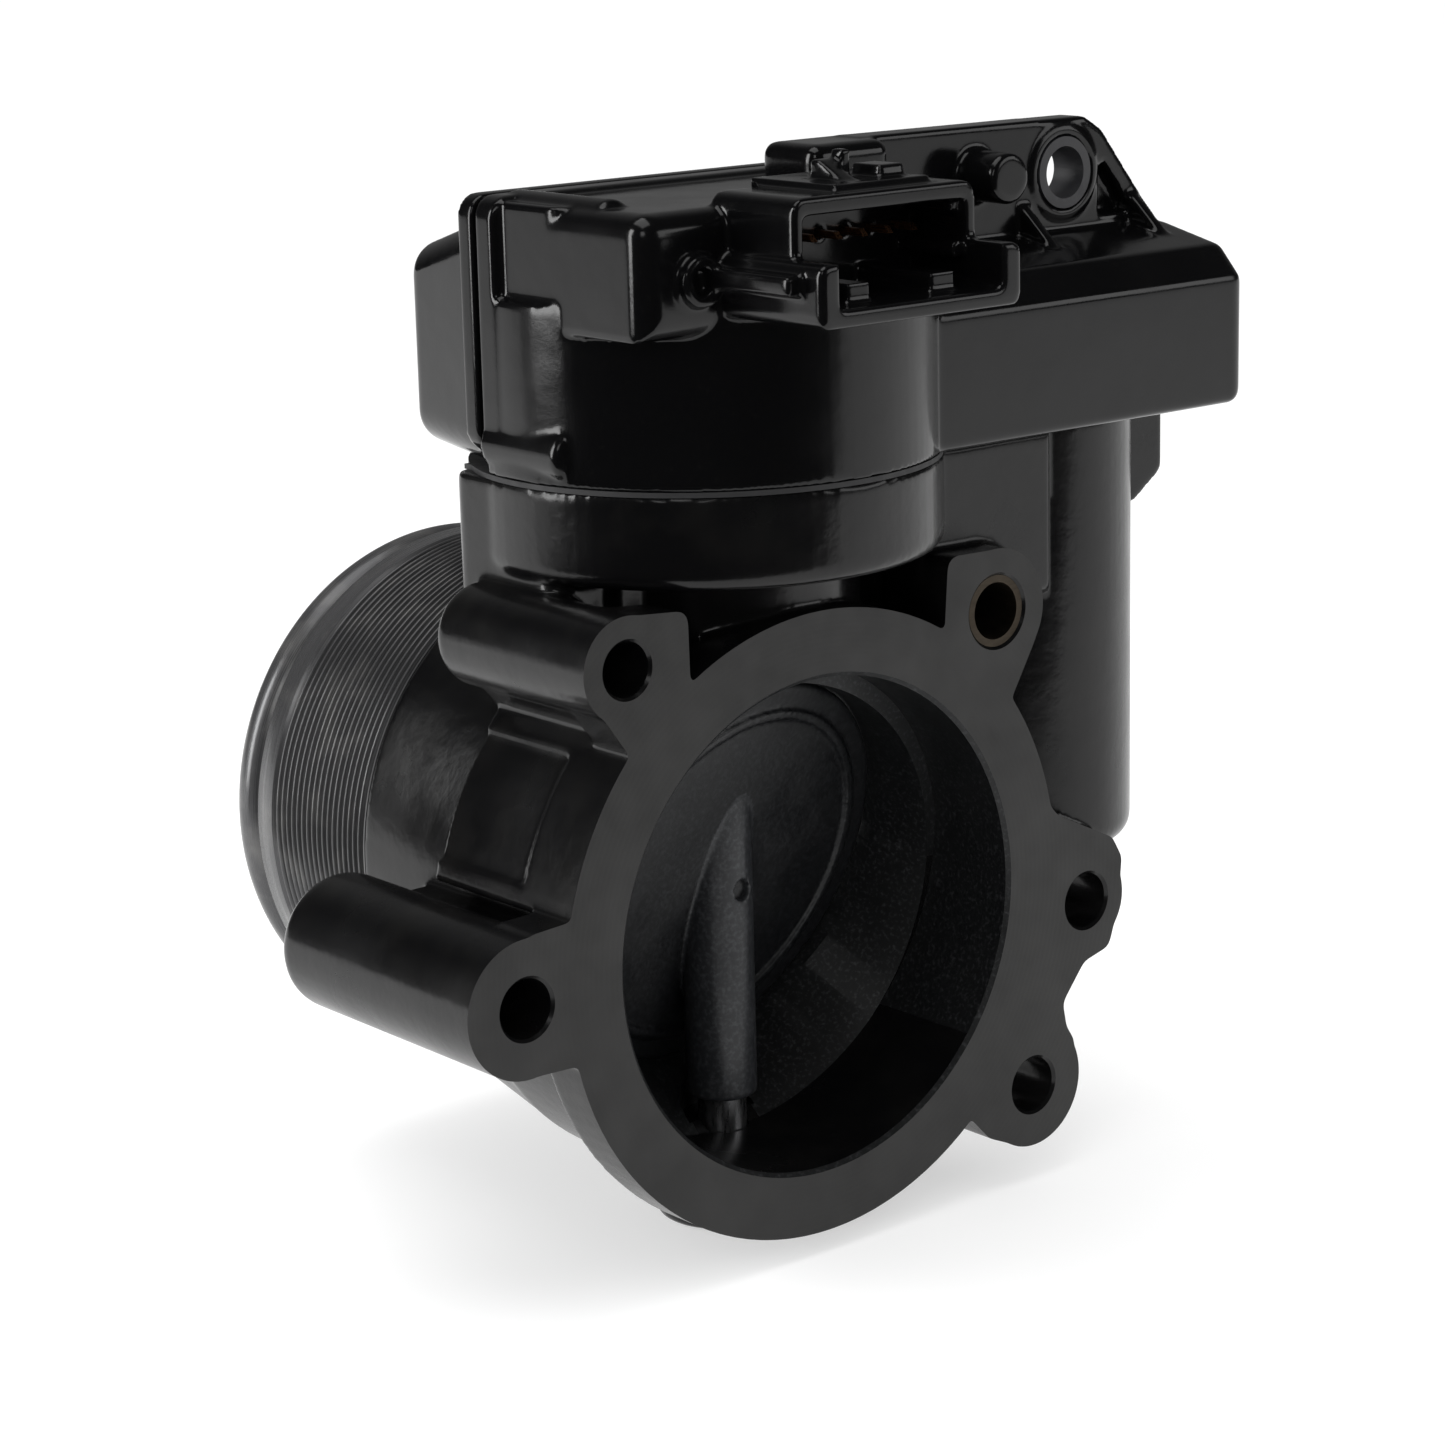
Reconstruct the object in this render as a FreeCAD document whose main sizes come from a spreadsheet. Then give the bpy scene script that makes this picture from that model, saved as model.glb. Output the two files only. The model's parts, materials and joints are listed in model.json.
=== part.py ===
import FreeCAD, Part
import Sketcher
import math
import os
import re

# Electronic throttle body: a cast body with a flanged bore and a hose spigot, an inclined butterfly
# on an upright shaft, and a gear case on top that holds the reduction gears, the motor and the board.
# Millimetres. Origin: centre of the bore in the flange face. +Y runs into the bore, +Z up the shaft.

DIMENSIONS = [
    # bore and flange
    ("entry_radius", 30.0), ("flange_radius", 38.1), ("flange_thick", 6.5), ("bore_wall", 4.0),
    ("bolt_hole_radius", 3.5), ("sleeve_radius", 4.4),
    # throttle section: its axis climbs from the entry bore to the higher spigot
    ("shaft_y", 20.0), ("seat_z", 2.6), ("seat_tilt", 18.5), ("seat_radius", 26.2),
    ("plate_radius", 26.0), ("plate_thick", 2.2), ("plate_rest_angle", 7.5),
    ("cross_pin_z", 1.0), ("cross_pin_radius", 1.3),
    ("hub_radius", 4.4), ("hub_low", -25.7), ("hub_high", 28.0),
    ("entry_line_y", 13.6), ("entry_line_tilt", 8.8), ("lead_in_length", 14.0), ("lead_in_radius", 31.7),
    # spigot
    ("spigot_rise", 5.2), ("spigot_radius", 33.0), ("spigot_bore_radius", 29.0), ("spigot_start", 45.0),
    ("ridge_first", 47.7), ("ridge_pitch", 1.12), ("ridge_count", 17), ("ridge_height", 0.6),
    ("spigot_band_end", 70.4), ("bead_start", 71.2), ("spigot_end", 77.0), ("bead_radius", 33.2),
    # shaft and its bearings
    ("shaft_radius", 3.0), ("shaft_low", -36.5), ("shaft_high", 62.4), ("running_gap", 0.05),
    ("needle_radius", 5.0), ("needle_low", -37.0), ("needle_length", 7.0),
    ("boss_radius", 8.5), ("boss_low", -41.0), ("plug_radius", 6.2), ("plug_thick", 1.6),
    ("seal_radius", 6.5), ("seal_low", 32.8), ("seal_length", 2.2),
    ("race_radius", 9.5), ("race_low", 35.5), ("race_width", 6.0), ("ball_radius", 1.55),
    ("ball_circle", 6.25), ("clip_radius", 5.2), ("clip_thick", 0.8),
    # lower drum and gear case
    ("drum_radius", 28.2), ("drum_low", 43.0), ("case_low", 54.0), ("gasket_thick", 0.6),
    ("drum_back", 44.0), ("neck_radius", 18.0), ("spring_floor", 45.4), ("spring_room", 20.8),
    ("parting_y", 26.0), ("case_left", -27.0), ("case_right", 69.0), ("case_front", -3.0),
    ("case_back", 45.0), ("case_wall", 2.2), ("box_top", 76.5), ("hood_low", 72.0), ("hood_top", 86.0),
    ("hood_right", 20.0), ("rim_step", 1.2),
    ("ear_front", 11.0), ("ear_thick", 4.5), ("ear_hole_x", 50.6), ("ear_hole_z", 83.8),
    ("ear_hole_radius", 3.2), ("ear_bush_radius", 4.4), ("ear_bush_front", 10.6), ("ear_bush_length", 5.2),
    # connector
    ("plug_centre_x", -1.5), ("plug_front", -20.0), ("plug_roof_front", -14.0), ("plug_half", 14.0),
    ("plug_low", 74.0), ("plug_shoulder", 81.0), ("plug_high", 87.6), ("plug_wall", 2.0),
    ("pin_count", 6), ("pin_pitch", 3.75), ("pin_z", 82.3), ("pin_tip_y", -8.5), ("pin_size", 0.8),
    # gear train
    ("gear_step", 24.5), ("sector_module", 1.0), ("sector_teeth", 39), ("small_teeth", 10),
    ("large_module", 0.7), ("large_teeth", 54), ("pinion_teeth", 16), ("backlash", 0.2),
    ("sector_low", 57.0), ("sector_thick", 5.0), ("large_low", 63.2), ("large_thick", 4.6),
    ("axle_radius", 2.0), ("axle_high", 71.5), ("gear_hub_radius", 7.5),
    # motor
    ("tube_radius", 16.0), ("tube_low", -2.0), ("pocket_radius", 14.3), ("pocket_low", 0.6),
    ("can_radius", 13.9), ("can_inner", 13.0), ("can_low", 1.9), ("can_high", 51.4),
    ("bell_high", 54.5), ("clamp_pad_radius", 4.4), ("screw_pad_high", 4.0),
    ("motor_shaft_radius", 1.6), ("armature_radius", 9.6),
    ("magnet_inner", 10.4), ("magnet_outer", 12.9),
    # board and sensor
    ("board_low", 77.0), ("board_thick", 1.6), ("holder_radius", 4.0),
]

VALUE = dict(DIMENSIONS)
Vec = FreeCAD.Vector
Turn = FreeCAD.Rotation
DOC = FreeCAD.newDocument("throttle_body")
SHEET = DOC.addObject("Spreadsheet::Sheet", "Dims")
NODES = []


def fill_sheet():
    for row, (alias, value) in enumerate(DIMENSIONS, start=1):
        SHEET.set("A%d" % row, alias)
        SHEET.set("B%d" % row, str(value))
        SHEET.setAlias("B%d" % row, alias)
    DOC.recompute()


def bind(item, path, formula):
    """Ties a property to a formula in which the sheet's words stand for its cells."""
    text = re.sub(r"[a-z]\w+", lambda m: "Dims." + m.group() if m.group() in VALUE else m.group(),
                  str(formula))
    item.setExpression(path, text)


def place(item, at, turn=None):
    if turn is not None:
        item.Placement = FreeCAD.Placement(Vec(0, 0, 0), turn)
    for axis, formula in zip("xyz", at):
        bind(item, "Placement.Base." + axis, formula)


UP = None
ALONG_Y = Turn(Vec(1, 0, 0), -90)


def keep(label, item):
    """Makes an object one of the pieces that are written out."""
    item.Label = label
    NODES.append(item)
    return item


def box(low, high, turn=None):
    item = DOC.addObject("Part::Box", "Block")
    for name, a, b in zip(("Length", "Width", "Height"), low, high):
        bind(item, name, "(%s) - (%s)" % (b, a))
    place(item, low, turn)
    return item


def cylinder(at, radius, length, turn=UP, angle=None):
    item = DOC.addObject("Part::Cylinder", "Round")
    bind(item, "Radius", radius)
    bind(item, "Height", length)
    if angle is not None:
        item.Angle = angle
    place(item, at, turn)
    return item


def cone(at, radius_low, radius_high, length, turn=UP):
    item = DOC.addObject("Part::Cone", "Taper")
    bind(item, "Radius1", radius_low)
    bind(item, "Radius2", radius_high)
    bind(item, "Height", length)
    place(item, at, turn)
    return item


def fuse(items):
    item = DOC.addObject("Part::MultiFuse", "Joined")
    item.Shapes = items
    return item


def cut(base, tools):
    item = DOC.addObject("Part::Cut", "Cut")
    item.Base = base
    item.Tool = tools[0] if len(tools) == 1 else fuse(tools)
    return item


def carve(base, tools):
    """Takes the tools out one after another, which holds up where a fused tool would not."""
    for tool in tools:
        base = cut(base, [tool])
        base.Refine = False
    return base


def common(base, tool):
    item = DOC.addObject("Part::Common", "Shared")
    item.Base = base
    item.Tool = tool
    return item


def compound(items):
    item = DOC.addObject("Part::Compound", "Group")
    item.Links = items
    return item


def rounded(base, radius, wanted=None):
    """Fillets the base's edges that the test accepts, or all of them."""
    DOC.recompute()
    item = DOC.addObject("Part::Fillet", "Rounded")
    item.Base = base
    chosen = []
    for number, edge in enumerate(base.Shape.Edges, start=1):
        if wanted is None or wanted(edge):
            chosen.append((number, radius, radius))
    item.Edges = chosen
    DOC.recompute()
    if item.Shape.isNull() or not item.Shape.isValid():
        raise RuntimeError("fillet failed on " + base.Name)
    return item


def runs_along(edge, axis):
    """True for a straight edge along X, Y or Z."""
    if not isinstance(edge.Curve, Part.Line):
        return False
    step = edge.Vertexes[-1].Point - edge.Vertexes[0].Point
    return abs(abs(step[axis]) - step.Length) < 1e-6


def outline_edges(points, radius):
    """Lines through the points, with every corner rounded to the radius its corner allows."""
    edges = []
    count = len(points)
    trims = []
    for i in range(count):
        before = Vec(*points[i - 1], 0) - Vec(*points[i], 0)
        after = Vec(*points[(i + 1) % count], 0) - Vec(*points[i], 0)
        half = before.getAngle(after) / 2
        reach = min(radius / math.tan(half), 0.45 * before.Length, 0.45 * after.Length)
        trims.append((before.normalize(), after.normalize(), half, reach))
    arcs = []
    for point, (before, after, half, reach) in zip(points, trims):
        corner = Vec(*point, 0)
        middle = (before + after).normalize()
        depth = reach / math.cos(half) - reach * math.tan(half)
        arcs.append((corner + before * reach, corner + middle * depth, corner + after * reach))
    for i in range(count):
        start, middle, end = arcs[i]
        if (end - start).Length > 1e-4:
            edges.append(Part.Arc(start, middle, end))
        edges.append(Part.LineSegment(end, arcs[(i + 1) % count][0]))
    return edges


def prism(points, start, length, axis="Y", radius=0.0):
    """A flat outline, drawn looking along the axis, pulled along it from start."""
    sketch = DOC.addObject("Sketcher::SketchObject", "Outline")
    if radius > 0:
        curves = outline_edges(points, radius)
    else:
        corners = [Vec(u, v, 0) for u, v in points]
        curves = [Part.LineSegment(a, b) for a, b in zip(corners, corners[1:] + corners[:1])]
    sketch.addGeometry(curves, False)
    turn = {"X": Turn(Vec(1, 1, 1), 120),
            "Y": Turn(Vec(1, 0, 0), 90), "Z": Turn()}[axis]
    direction = {"X": (1, 0, 0), "Y": (0, 1, 0), "Z": (0, 0, 1)}[axis]
    sketch.Placement = FreeCAD.Placement(Vec(0, 0, 0), turn)
    bind(sketch, "Placement.Base." + axis.lower(), start)
    item = DOC.addObject("Part::Extrusion", "Prism")
    item.Base = sketch
    item.DirMode = "Custom"
    item.Dir = Vec(*direction)
    bind(item, "LengthFwd", length)
    item.Solid = True
    return item


def spun(label, profile, at, turn=UP):
    """A solid of revolution: its half profile, as (radius, height) formulas, spun about its axis."""
    body = DOC.addObject("PartDesign::Body", label)
    sketch = body.newObject("Sketcher::SketchObject", "Profile")
    plane = [item for item in body.Origin.OriginFeatures if item.Role == "XZ_Plane"][0]
    sketch.AttachmentSupport = (plane, [""])
    sketch.MapMode = "FlatFace"
    points = [Vec(number(radius), number(height), 0) for radius, height in profile]
    count = len(points)
    for i in range(count):
        sketch.addGeometry(Part.LineSegment(points[i], points[(i + 1) % count]), False)
    for i in range(count):
        sketch.addConstraint(Sketcher.Constraint("Coincident", i, 2, (i + 1) % count, 1))
    for i, (radius, height) in enumerate(profile):
        for kind, axis, formula, value in (("DistanceX", -2, radius, points[i].x),
                                           ("DistanceY", -1, height, points[i].y)):
            if abs(value) < 1e-9:
                sketch.addConstraint(Sketcher.Constraint("PointOnObject", i, 1, axis))
            else:
                at_number = sketch.addConstraint(Sketcher.Constraint(kind, -1, 1, i, 1, value))
                bind(sketch, "Constraints[%d]" % at_number, formula)
    spin = body.newObject("PartDesign::Revolution", "Spin")
    spin.Profile = sketch
    spin.ReferenceAxis = (sketch, ["V_Axis"])
    spin.Angle = 360
    body.Tip = spin
    place(body, at, turn)
    return body


def turned(label, profile, at, turn=UP):
    return keep(label, spun(label, profile, at, turn))


def number(formula):
    """Works out a sum of the sheet's words and numbers, such as '2 * race_radius - 1'."""
    total = 0.0
    for sign, term in re.findall(r"([+-]?)\s*([^+-]+)", str(formula)):
        product = 1.0
        for factor in term.split("*"):
            factor = factor.strip()
            product *= VALUE[factor] if factor in VALUE else float(factor)
        total += -product if sign == "-" else product
    return total


def polar(radius, degrees):
    return radius * math.cos(math.radians(degrees)), radius * math.sin(math.radians(degrees))


# ---------------------------------------------------------------- throttle housing

# Flange lobes: bolt centre angle and distance, boss radius, boss length behind the face, and the
# outline of the lobe's web around the bolt centre, as X, Z points.
LOBES = [
    {"angle": 180.2, "reach": 43.9, "radius": 8.2, "length": 38.0, "hole": "bolt_hole_radius",
     "web": [(-32, 8.9), (-44, 8.2), (-44, -8.2), (-32, -8.6)]},
    {"angle": 128.4, "reach": 45.7, "radius": 6.2, "length": 29.0, "hole": "bolt_hole_radius - 0.3",
     "web": [(-19.4, 30), (-19.6, 41.2), (-28, 41.9), (-33.9, 38.5), (-34.2, 34.0), (-28.5, 26), (-20, 22)]},
    {"angle": 49.8, "reach": 44.0, "radius": 7.7, "length": 11.0, "hole": "sleeve_radius",
     "web": [(19.6, 31), (20.4, 41.4), (29.6, 41.2), (36.0, 35.0), (34.7, 29), (30.5, 22), (22, 24)]},
    {"angle": -7.8, "reach": 44.0, "radius": 6.4, "length": 9.0, "hole": "bolt_hole_radius",
     "web": [(36, 9), (38.6, 6.1), (48.2, 1.4), (49.9, -1.5), (49.2, -8.0), (47.6, -12.8), (43.2, -13.9),
             (39.4, -18.5), (40.5, -24), (30, -20), (28, 4)]},
    {"angle": -39.4, "reach": 44.3, "radius": 8.0, "length": 9.0, "hole": "bolt_hole_radius",
     "web": [(41.8, -24.5), (37, -17), (28, -16), (22, -28.5), (26.5, -33.3), (31, -35.3)]},
]


def lobe_centre(lobe):
    return polar(lobe["reach"], lobe["angle"])


def flange():
    solids = [cylinder((0, 0, 0), "flange_radius", "flange_thick", ALONG_Y)]
    for lobe in LOBES:
        x, z = lobe_centre(lobe)
        boss = cylinder((x, 0, z), lobe["radius"], lobe["length"], ALONG_Y)
        far = lobe["length"]
        solids.append(rounded(boss, 2.2,
                              lambda e, far=far: len(e.Vertexes) == 1 and e.CenterOfMass.y > far - 0.1))
        solids.append(prism(lobe["web"], 0, "flange_thick", "Y", 1.6))
    return solids


def barrel():
    wall_radius = "entry_radius + bore_wall"
    solids = [cylinder((0, 0, 0), wall_radius, 25, ALONG_Y)]
    rings = []
    for y, z, radius in ((24, 0, wall_radius), ("spigot_start + 1", "spigot_rise", "spigot_radius + 1")):
        ring = DOC.addObject("Part::Circle", "Ring")
        bind(ring, "Radius", radius)
        place(ring, (0, y, z), ALONG_Y)
        rings.append(ring)
    blend = DOC.addObject("Part::Loft", "Blend")
    blend.Sections = rings
    blend.Solid = True
    blend.Ruled = True
    solids.append(blend)
    solids.append(spigot())
    # shoulder between the two left lobes, with a shallow raised edge round its panel
    shoulder = cylinder((0, 0, 0), "flange_radius + 0.4", "parting_y",
                        Turn(Vec(1, 0, 0), -90) * Turn(Vec(0, 0, 1), -168),
                        angle=32)
    solids.append(shoulder)
    # webs that tie the two long bolt bosses to the barrel
    solids.append(rounded(box((-42, 1, -5.5), (-26, 33, 5.5)), 1.5, lambda e: runs_along(e, 0)))
    angle = LOBES[1]["angle"]
    x_side, z_side = polar(4.5, angle + 90)
    corners = []
    for reach, side in ((30, -1), (44, -1), (44, 1), (30, 1)):
        x, z = polar(reach, angle)
        corners.append((x + side * x_side, z + side * z_side))
    solids.append(prism(corners, 1, 26, "Y"))
    return solids


def spigot():
    """Hose spigot: a ring of fine ridges, a plain band, a groove and a rounded bead at the end."""
    radius = VALUE["spigot_radius"]
    crest = radius + VALUE["ridge_height"]
    profile = [(0, VALUE["spigot_start"]), (radius + 0.5, VALUE["spigot_start"])]
    for i in range(VALUE["ridge_count"]):
        y = VALUE["ridge_first"] + i * VALUE["ridge_pitch"]
        profile += [(radius, y - 0.34), (crest, y - 0.12), (crest, y + 0.2), (radius, y + 0.42)]
    profile += [(radius, VALUE["spigot_band_end"] - 4.2), (crest, VALUE["spigot_band_end"] - 3.6),
                (crest, VALUE["spigot_band_end"] - 0.3), (radius - 1.2, VALUE["spigot_band_end"]),
                (radius - 1.2, VALUE["bead_start"])]
    bead = VALUE["bead_radius"]
    depth = VALUE["spigot_end"] - VALUE["bead_start"]
    for step in range(7):
        turn = math.radians(15 + 25 * step)
        y = VALUE["bead_start"] + depth / 2 * (1 - math.cos(turn))
        profile.append((bead - 2.4 + 2.4 * math.sin(turn), y))
    profile += [(bead - 3.2, VALUE["spigot_end"]), (0, VALUE["spigot_end"])]
    points = [Vec(r, y, 0) for r, y in profile]
    face = Part.Face(Part.makePolygon(points + points[:1]))
    item = DOC.addObject("Part::Feature", "SpigotRings")
    item.Shape = face.revolve(Vec(0, 0, 0), Vec(0, 1, 0), 360)
    item.Placement = FreeCAD.Placement(Vec(0, 0, VALUE["spigot_rise"]), Turn())
    return item


def passage():
    """The air way: entry bore, slanted lead-in to the seat, slanted throttle section, spigot bore."""
    tilt = VALUE["entry_line_tilt"]
    y = VALUE["entry_line_y"]
    entry = cylinder((0, -1, 0), "entry_radius", 26, ALONG_Y)
    slant = Turn(Vec(1, 0, 0), tilt)
    behind = DOC.addObject("Part::Box", "Behind")
    behind.Length = 80
    behind.Width = 40
    behind.Height = 80
    corner = slant.multVec(Vec(-40, 0, -40))
    behind.Placement = FreeCAD.Placement(Vec(0, y, 0) + corner, slant)
    entry = cut(entry, [behind])
    seat_turn = Turn(Vec(1, 0, 0), VALUE["seat_tilt"]) * ALONG_Y
    forward = seat_turn.multVec(Vec(0, 0, VALUE["lead_in_length"]))
    lead = cone((0, VALUE["shaft_y"] - forward.y, VALUE["seat_z"] - forward.z),
                "lead_in_radius", "seat_radius", "lead_in_length", seat_turn)
    lead = common(lead, behind)
    throat = cylinder((0, "shaft_y", "seat_z"), "seat_radius", 12.5, seat_turn)
    # behind the throat the wall leaves room for the edge of the swinging plate
    onward = seat_turn.multVec(Vec(0, 0, 12))
    swing = cone((0, VALUE["shaft_y"] + onward.y, VALUE["seat_z"] + onward.z),
                 "seat_radius - 1", 18, 10, seat_turn)
    widen = cone((0, 27, "spigot_rise"), "spigot_bore_radius - 3.4", "spigot_bore_radius", 12, ALONG_Y)
    out = cylinder((0, 38.9, "spigot_rise"), "spigot_bore_radius", 40, ALONG_Y)
    return [entry, lead, throat, swing, widen, out]


def drum_and_tube():
    drum = rounded(cylinder((0, "shaft_y", "drum_low"), "drum_radius", "case_low - drum_low"), 2.0,
                   lambda e: len(e.Vertexes) == 1 and e.CenterOfMass.z < 44)
    drum = common(drum, box((-40, -20, 40), (40, "drum_back", 60)))
    neck = cylinder((0, "shaft_y", 26), "neck_radius", "drum_low - 25")
    tube = cylinder(("2 * gear_step", "shaft_y", "tube_low"), "tube_radius", "case_low - tube_low")
    tube = rounded(tube, 3.0,
                   lambda e: len(e.Vertexes) == 1 and e.CenterOfMass.z < 0)
    web = rounded(box((20, 4.6, 33), (42, 11, "case_low")), 1.5, lambda e: runs_along(e, 0))
    shelf = box((18, 8, 44), ("2 * gear_step", 36, "case_low"))
    leg = rounded(box((-27.5, 14, 30), (-16, 34, "case_low")), 3.0,
                  lambda e: runs_along(e, 2) and e.CenterOfMass.x < -20)
    tie = rounded(box((28, 12, -2), (44, 30, 30)), 2.0, lambda e: runs_along(e, 0))
    rib = prism([(58, 54), (70, 54), (70, 44), (65, 40.5), (58, 40.5)], 12.5, 4, "Y", 2.0)
    gusset = prism([(58, 41), (66, 41), (58, 30)], 13.5, 2.2, "Y")
    foot = rounded(cylinder((0, "shaft_y", "boss_low"), "boss_radius", 16), 1.2,
                   lambda e: len(e.Vertexes) == 1 and e.CenterOfMass.z < -40)
    posts = []
    for degrees in CLAMP_ANGLES:
        x, y = clamp_centre(degrees)
        posts.append(cylinder((x, y, 42), "clamp_pad_radius", "case_low - 42"))
    saddle = box((-20, 12, 28), (30, 32, 46))
    return [drum, neck, tube, web, shelf, leg, tie, rib, gusset, foot, saddle] + posts


CLAMP_ANGLES = (68.0, 158.0)


def clamp_centre(degrees):
    x, y = polar(18.0, degrees)
    return 2 * VALUE["gear_step"] + x, VALUE["shaft_y"] + y


# Screws that hold the gear case down, as X and Y of their axes along Z.
HOUSING_SCREWS = [(-23.0, 14.0), (-21.0, 31.5), (31.0, 11.0), (35.0, 33.5)]


def throttle_housing():
    outer = fuse(flange() + barrel() + drum_and_tube())
    holes = []
    for lobe in LOBES:
        x, z = lobe_centre(lobe)
        holes.append(cylinder((x, -1, z), lobe["hole"], lobe["length"] + 2, ALONG_Y))
    axis = [
        cylinder((0, "shaft_y", -45), "shaft_radius + 0.3", 90),
        cylinder((0, "shaft_y", -28.6), "hub_radius + 0.8", 12),
        cylinder((0, "shaft_y", 20), "hub_radius + 0.8", 9.2),
        cylinder((0, "shaft_y", "needle_low"), "needle_radius", "needle_length"),
        cylinder((0, "shaft_y", "boss_low - 1"), "plug_radius", "needle_low - boss_low + 1"),
        cylinder((0, "shaft_y", "seal_low"), "seal_radius", "race_low - seal_low + 0.01"),
        cylinder((0, "shaft_y", "race_low"), "race_radius", 14),
        cylinder((0, "shaft_y", "spring_floor"), "spring_room", 10),
        cylinder(("2 * gear_step", "shaft_y", "pocket_low"), "pocket_radius", 60),
        cylinder(("gear_step", "shaft_y", 48), "axle_radius", 10),
    ]
    screws = [cylinder((x, y, 45.5), 1.5, 12) for x, y in HOUSING_SCREWS]
    for degrees in CLAMP_ANGLES:
        x, y = clamp_centre(degrees)
        screws.append(cylinder((x, y, 46), 1.2, 12))
    panel = cylinder((0, 9.5, 0), 41, 30,
                     Turn(Vec(1, 0, 0), -90) * Turn(Vec(0, 0, 1), -164),
                     angle=24)
    core = cylinder((0, 9, 0), "flange_radius - 0.2", 31, ALONG_Y)
    recess = cut(panel, [core])
    keep("throttle_housing", carve(outer, holes + passage() + axis + screws + [recess]))


# ---------------------------------------------------------------- gear case


def case_solids(inset, low):
    """The gear case's outline, or its inside when inset is the wall's thickness."""
    front = VALUE["case_front"] + inset
    left = VALUE["case_left"] + inset
    right = VALUE["case_right"] - inset
    back = VALUE["parting_y"] + (1 if inset else 0)
    top = VALUE["box_top"] - inset
    hood_top = VALUE["hood_top"] - inset
    drum = cylinder((0, "shaft_y", low), VALUE["drum_radius"] - inset, VALUE["hood_low"] + 3 - low)
    drum = common(drum, box((-40, -20, 40), (40, back, 90)))
    floor = low if inset == 0 else low + inset
    side = [(front, floor), (back, floor), (back, top), (front + 13, top), (front + 3.5, top - 2.2),
            (front, top - 6)]
    long_box = prism(side, 14 + inset, right - 14 - inset, "X", 1.2)
    hood = box((left, front, VALUE["hood_low"] + inset), (VALUE["hood_right"] - inset, back, hood_top))
    wall = box((left, 11 + inset, low), (0, back, hood_top))
    shelf = box((10, 11 + inset, 60), (28 - inset, back, hood_top - 1.5 - inset / 2))
    if inset == 0:
        long_box = rounded(long_box, 2.5,
                           lambda e: abs(e.CenterOfMass.x - right) < 0.05 and e.CenterOfMass.y < back - 0.5)
        hood = rounded(hood, 2.6, lambda e: e.CenterOfMass.y < front + 0.1 or
                       (e.CenterOfMass.x < left + 0.1 and e.CenterOfMass.z > hood_top - 0.1))
        wall = rounded(wall, 3.0,
                       lambda e: runs_along(e, 2) and e.CenterOfMass.x < left + 1 and e.CenterOfMass.y < 20)
    return [drum, long_box, hood, wall, shelf]


def parting_rim(start, length):
    """The raised rim where case and cover meet, round the left end, the top and the right end."""
    left = VALUE["case_left"] - VALUE["rim_step"]
    right = VALUE["case_right"] + VALUE["rim_step"]
    shoulder = VALUE["box_top"] + VALUE["rim_step"]
    high = VALUE["hood_top"] + VALUE["rim_step"] / 2
    outline = [(left, 57), (right, 57), (right, shoulder), (31, shoulder), (27.5, high), (left, high)]
    return prism(outline, start, length, "Y", 2.6)


# Screws of the rear cover, as X and Z of their axes along Y.
COVER_SCREWS = [(-18.5, 80.9), (-19.5, 66.5), (21.0, 80.4), (62.6, 60.8), (62.6, 70.6)]


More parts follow.
